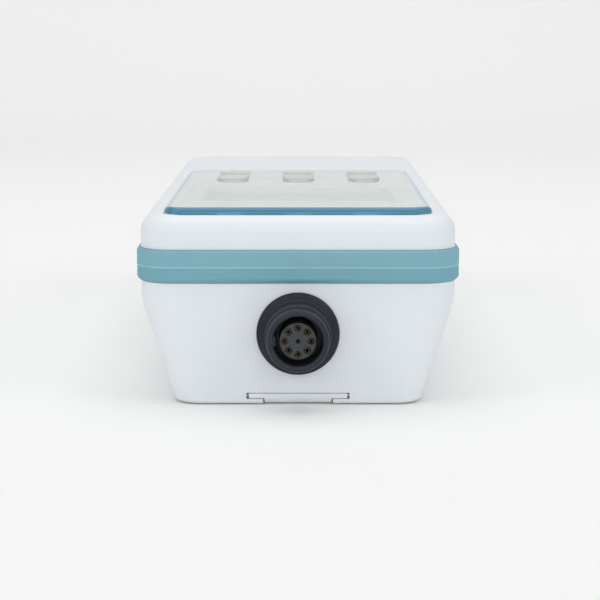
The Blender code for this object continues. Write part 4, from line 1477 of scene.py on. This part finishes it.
# ------------------------------------------------------------------------------ underside
@dataclass
class TiltStand:
    """The fold-out leg with its two ears and pivot stubs."""

    half: float = 0.0120
    length: float = 0.0600
    thick: float = 0.0038
    ear_half: float = 0.0175
    ear_up: float = 0.0019
    pivot_back: float = 0.0016
    pivot_up: float = 0.0029
    heel: float = 0.0028
    edge: float = 0.00025
    ear_edge: float = 0.0002
    stub: Pair = (0.00045, 0.0203)
    scoop: Pair = (0.0011, 0.005)
    steps: int = 10

    def side(self) -> list[Pair]:
        """Builds the leg's outline, seen from the side.

        Returns:
            Place back from the front face and height of each point.
        """
        low, high, reach = BASE_Z, BASE_Z + self.thick, self.heel
        points = [(self.length, high - 0.0003), (self.length - 0.0003, high)]
        points += [(0.0002, high), (0.0, high - 0.0002)]
        for k in range(self.steps + 1):
            angle = QUARTER * k / self.steps
            points.append((reach * (1 - math.cos(angle)), low + reach * (1 - math.sin(angle))))
        return points + [(self.length - 0.0004, low), (self.length, low + 0.0004)]

    def leg(self) -> bpy.types.Object:
        """Builds the leg alone, with a small chamfer along its long edges.

        Returns:
            The solid.
        """
        middle_s, middle_z = self.length / 2, (2 * BASE_Z + self.thick) / 2
        half, edge, rings = self.half, self.edge, []
        for x, inset in ((-half, edge), (-half + edge, 0.0), (half - edge, 0.0), (half, edge)):
            ring = []
            for s, z in self.side():
                shift_s, shift_z = math.copysign(inset, middle_s - s), math.copysign(inset, middle_z - z)
                ring.append((x, back(s + shift_s), z + shift_z))
            rings.append(ring)
        return put("tilt_stand_leg", hull(rings))

    def bar(self, name: str, size: Pair, s: float, z: float) -> bpy.types.Object:
        """A round bar along X.

        Args:
            name: Name of the object.
            size: Its radius and half of its length.
            s: Its place back from the front face.
            z: Its height.

        Returns:
            The new object.
        """
        radius, half = size
        return rod(name, radius, Vector((-half, back(s), z)), Vector((half, back(s), z)), 24)

    def build(self) -> None:
        """Builds and dresses the leg."""
        leg, edge = self.leg(), self.ear_edge
        low, high = BASE_Z + self.ear_up, BASE_Z + self.thick
        levels = [(low, -edge), (low + edge, 0.0), (high - 0.0001, 0.0), (high, -0.0001)]
        span = (0.0001, 2 * self.pivot_back - 0.0001)
        ears = prism("stand_ears", (-self.ear_half, self.ear_half), span, levels, 0.0003, 3)
        stubs = self.bar("stand_stubs", self.stub, self.pivot_back, BASE_Z + self.pivot_up)
        combine(leg, [ears, stubs], "UNION")
        scoop = self.bar("leg_scoop", self.scoop, self.length + 0.0006, BASE_Z)
        combine(leg, [scoop], "DIFFERENCE")
        finish_piece(leg, WHITE, Slot.CASE, Body.STAND.value, "tilt_stand")


@dataclass
class BatteryCover:
    """The cover of the battery bay and its screws; its seal is dressed with the inner parts."""

    half: float = 0.0330
    span: Pair = (0.0700, 0.2110)
    thick: float = 0.0030
    screws: Pair = (0.0755, 0.2045)
    corner: float = 0.004
    bore: float = 0.0037
    bore_depth: float = 0.0019
    shank_hole: float = 0.0018
    ribs: int = 7
    rib_start: float = 0.0150
    rib_step: float = 0.0026
    rib_half: float = 0.012
    rib_radius: float = 0.0008
    rib_drop: float = 0.0003

    def build(self) -> None:
        """Builds and dresses the cover and the screws."""
        low, high = BASE_Z, BASE_Z + self.thick
        levels = [(low, -0.0006), (low + 0.0002, -0.0002), (low + 0.0006, 0.0), (high, 0.0)]
        sides = (-self.half, self.half)
        cover = prism("battery_door", sides, self.span, levels, self.corner, 10)
        cutters, wide, seat = [], self.bore + 0.0003, low + self.bore_depth
        bore = [(0.0, low - CUT_PAST), (wide, low - CUT_PAST), (wide, low), (self.bore, low + 0.0003)]
        bore += [(self.bore, seat), (self.shank_hole, seat), (self.shank_hole, high + CUT_PAST)]
        bore.append((0.0, high + CUT_PAST))
        for s in self.screws:
            cutters.append(lathe(bore, 40, Matrix.Translation((0, back(s), 0)), "cover_bore"))
        for k in range(self.ribs):
            s = self.span[0] + self.rib_start + self.rib_step * k
            ends = (Vector((x, back(s), low - self.rib_drop)) for x in (-self.rib_half, self.rib_half))
            cutters.append(rod("grip_groove", self.rib_radius, *ends, 20))
        combine(cover, cutters, "DIFFERENCE")
        finish_piece(cover, WHITE, Slot.CASE, Body.COVER.value, "battery_cover")
        for number in (1, 2):
            Screw(f"cover_screw_{number}", 0.0034, 0.0013, 0.0015, Body.COVER).build()


@dataclass
class Screw:
    """A pan-head screw standing head down, with a cross recess."""

    node: str
    head: float
    head_height: float
    shank: float
    body: Body
    crown: float = 0.00035
    pitch: float = 0.0006
    slot: float = 0.0004

    def build(self) -> None:
        """Builds and dresses the screw."""
        low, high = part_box(self.node)
        x, y = (low.x + high.x) / 2, (low.y + high.y) / 2
        crown, deep, reach = self.crown, low.z + self.head_height, self.head * 0.55
        profile = [(0.0, low.z), (reach, low.z), (self.head * 0.86, low.z + crown * 0.6)]
        profile += [(self.head, low.z + crown * 1.6), (self.head, deep), (self.shank, deep)]
        z = deep + 0.0012
        while z < high.z - 0.0010:
            profile += [(self.shank, z), (self.shank * 0.8, z + self.pitch / 2)]
            z += self.pitch
        profile += [(self.shank, high.z - 0.0005), (self.shank * 0.6, high.z), (0.0, high.z)]
        screw = lathe(profile, 28, Matrix.Translation((x, y, 0.0)), f"{self.node}_turned")
        cutters = []
        for long, short in ((reach, self.slot), (self.slot, reach)):
            levels = [(low.z - 0.001, 0.0), (low.z + self.head_height * 0.7, -0.0001)]
            sides, span = (x - long, x + long), (y - short - FRONT, y + short - FRONT)
            cutters.append(prism("cross_slot", sides, span, levels, 0.0, 1))
        combine(screw, cutters, "DIFFERENCE")
        finish_piece(screw, STEEL, Slot.METAL, self.body.value, self.node)


@dataclass
class Feet:
    """Four rubber feet with rounded rims."""

    places: Sequence[Pair] = ((0.031, 0.032), (-0.031, 0.032), (0.030, 0.245), (-0.030, 0.245))
    radius: float = 0.0050

    def build(self) -> None:
        """Builds and dresses the feet."""
        for number, (x, s) in enumerate(self.places, 1):
            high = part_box(f"rubber_foot_{number}")[1].z
            radius, place = self.radius, Matrix.Translation((x, back(s), 0.0))
            profile = [(0.0, high), (radius, high), (radius, 0.0006), (radius - 0.0001, 0.0003)]
            profile += [(radius - 0.0006, 0.0), (0.0030, 0.0), (0.0028, 0.0002), (0.0, 0.0002)]
            foot = lathe(profile, 40, place, f"foot_pad_{number}")
            finish_piece(foot, SEAL, Slot.SEALS, Body.CASE.value, f"rubber_foot_{number}")


@dataclass
class InnerParts:
    """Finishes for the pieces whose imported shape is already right."""

    cell_count: int = 4
    shoulder: float = 0.0110
    jacket: Colour = (0.02, 0.022, 0.026)
    copper: Colour = (0.72, 0.36, 0.14)

    def dress(self, finish: object, names: Iterable[str]) -> None:
        """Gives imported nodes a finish.

        Args:
            finish: The finish.
            names: The nodes.
        """
        for name in names:
            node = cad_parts[name]
            node.data.materials.clear()
            node.data.materials.append(LIBRARY.get(finish))
            LOG.info("%s: %s", name, finish.name)

    def cells(self) -> None:
        """Jackets for the cells: the coppered end is the end with the raised button."""
        names = [f"battery_cell_{k}" for k in range(1, self.cell_count + 1)]
        for side, members in ((-1, names[:2]), (1, names[2:])):
            bounds = []
            for name in members:
                low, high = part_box(name)
                start = high.y - self.shoulder if side < 0 else low.y
                bounds.append((start, high.y if side < 0 else low.y + self.shoulder))
            name = f"cell_jacket_{side + 2}"
            self.dress(CellJacket(name, self.jacket, self.copper, tuple(bounds)), members)

    def build(self) -> None:
        """Dresses every inner piece and turns its screws."""
        self.cells()
        metal = ["socket_nut", "lcd_frame", "backup_cell", "battery_spring_front", "battery_spring_rear"]
        metal += ["battery_terminal_negative", "battery_terminal_positive", "battery_bridge"]
        self.dress(STEEL, metal)
        self.dress(SEAL, ["case_gasket", "socket_seal", "battery_cover_seal"])
        self.dress(KEY, ["keypad_mat"])
        self.dress(WIRE, ["socket_harness", "battery_lead"])
        self.dress(CHIP, ["processor_chip", "board_header", "buzzer"])
        self.dress(GUIDE, ["backlight_plate"])
        self.dress(BOARD, ["main_board"])
        for number in range(1, 5):
            Screw(f"case_screw_{number}", 0.0029, 0.0024, 0.0014, Body.CASE).build()


# ------------------------------------------------------------------------------ studio
@dataclass(frozen=True)
class Lamp:
    """One rectangular soft lamp."""

    name: str
    place: tuple[float, float, float]
    size: Pair
    watts: float

    def build(self, aim: Vector) -> None:
        """Hangs the lamp.

        Args:
            aim: What it faces.
        """
        data = bpy.data.lights.new(self.name, "AREA")
        data.shape, data.size, data.size_y, data.energy = "RECTANGLE", *self.size, self.watts
        lamp = bpy.data.objects.new(self.name, data)
        lamp.location = self.place
        lamp.rotation_mode = "QUATERNION"
        lamp.rotation_quaternion = (aim - Vector(self.place)).to_track_quat("-Z", "Y")
        bpy.context.scene.collection.objects.link(lamp)


@dataclass
class Studio:
    """Pale sweep, soft lamps and the camera."""

    camera_place: tuple[float, float, float] = (0.0007, -0.76835, 0.1370)
    pitch: float = math.radians(8.87)
    lens: float = 109.8
    sweep_colour: Colour = (0.90, 0.90, 0.885)
    glow_near: Pair = (-0.4, 0.05)
    glow_far: Pair = (1.8, 0.26)
    air: float = 0.36
    air_seen: float = 0.86
    air_colour: tuple[float, float, float, float] = (0.95, 0.97, 1.0, 1.0)
    sweep_half: float = 7.0
    sweep_end: float = 1.2
    sweep_bend: float = 0.8
    sweep_height: float = 2.5
    sweep_steps: int = 16
    aim: Sequence[float] = (0.0, 0.0, 0.03)
    lamps: Sequence[Lamp] = (
        Lamp("top_softbox", (0.0, 0.10, 1.5), (1.6, 1.6), 12.0),
        Lamp("left_softbox", (-1.3, -0.7, 0.8), (1.0, 1.0), 4.9),
        Lamp("right_softbox", (1.3, -0.7, 0.8), (1.0, 1.0), 4.9),
        Lamp("front_fill", (0.0, -1.9, 0.55), (1.6, 0.8), 8.0),
    )

    def sweep(self) -> None:
        """Floor that curves up into a backdrop."""
        half, end, bend = self.sweep_half, self.sweep_end, self.sweep_bend
        profile = [(-half, 0.0), (end, 0.0)]
        for k in range(1, self.sweep_steps + 1):
            angle = QUARTER * k / self.sweep_steps
            profile.append((end + bend * math.sin(angle), bend * (1 - math.cos(angle))))
        profile.append((end + bend, self.sweep_height))
        bm = bmesh.new()
        rows = [[bm.verts.new((x, y, z)) for x in (-half, half)] for y, z in profile]
        for first, second in zip(rows, rows[1:]):
            bm.faces.new((first[0], first[1], second[1], second[0]))
        floor = put("studio_sweep", bm)
        floor.data.shade_smooth()
        paint = Paint("studio_paper")
        tone = paint.ramp(paint.noise(0.4, 2.0), (0.3, 0.0), (0.7, 1.0))
        shade = tuple(c * 0.99 for c in self.sweep_colour)
        paint.set(Base_Color=paint.mix(tone, self.sweep_colour, shade), Roughness=0.9)
        paint.shader.inputs["Specular IOR Level"].default_value = 0.1
        path = paint.add("ShaderNodeLightPath")
        seen = paint.math("MAXIMUM", path.outputs["Is Camera Ray"], path.outputs["Is Glossy Ray"])
        glow = paint.ramp(paint.axes()[1], self.glow_near, self.glow_far)
        paint.set(Emission_Color=(1.0, 1.0, 0.985), Emission_Strength=paint.math("MULTIPLY", seen, glow))
        floor.data.materials.append(paint.material)

    def world(self) -> None:
        """Lights the air, which the camera sees brighter than it shines."""
        world = bpy.data.worlds.new("studio_air")
        bpy.context.scene.world = world
        world.use_nodes = True
        ground = world.node_tree.nodes["Background"]
        ground.inputs["Color"].default_value = self.air_colour
        path = world.node_tree.nodes.new("ShaderNodeLightPath")
        level = world.node_tree.nodes.new("ShaderNodeMapRange")
        level.inputs["To Min"].default_value = self.air
        level.inputs["To Max"].default_value = self.air_seen
        world.node_tree.links.new(path.outputs["Is Camera Ray"], level.inputs["Value"])
        world.node_tree.links.new(level.outputs["Result"], ground.inputs["Strength"])

    def camera(self) -> None:
        """Places the camera where the photograph was taken from."""
        data = bpy.data.cameras.new("camera")
        data.lens, data.sensor_width = self.lens, 36.0
        camera = bpy.data.objects.new("camera", data)
        camera.location = self.camera_place
        camera.rotation_euler = (QUARTER - self.pitch, 0.0, 0.0)
        bpy.context.scene.collection.objects.link(camera)
        bpy.context.scene.camera = camera

    def build(self) -> None:
        """Builds the sweep, lamps, world and camera."""
        self.sweep()
        for lamp in self.lamps:
            lamp.build(Vector(self.aim))
        self.world()
        self.camera()
        bpy.context.scene.view_settings.view_transform = "Standard"


def main() -> None:
    """Builds every sub-assembly in order."""
    logging.basicConfig(level=logging.INFO, format="%(message)s")
    Studio().build()
    shape = CaseShape()
    panel = DisplayPanel(Keypad())
    builders: list[tuple[str, Callable[[], None]]] = [
        ("upper case", lambda: UpperCase(shape).build(panel)),
        ("edge band", EdgeBand(shape).build),
        ("lower case", LowerCase(shape).build),
        ("display panel and keys", panel.build),
        ("probe socket", ProbeSocket().build),
        ("tilt stand", TiltStand().build),
        ("battery cover", BatteryCover().build),
        ("feet", Feet().build),
        ("inner parts", InnerParts().build),
    ]
    for title, build in builders:
        build()
        LOG.info("built the %s", title)
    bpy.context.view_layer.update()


if __name__ == "__main__":
    main()
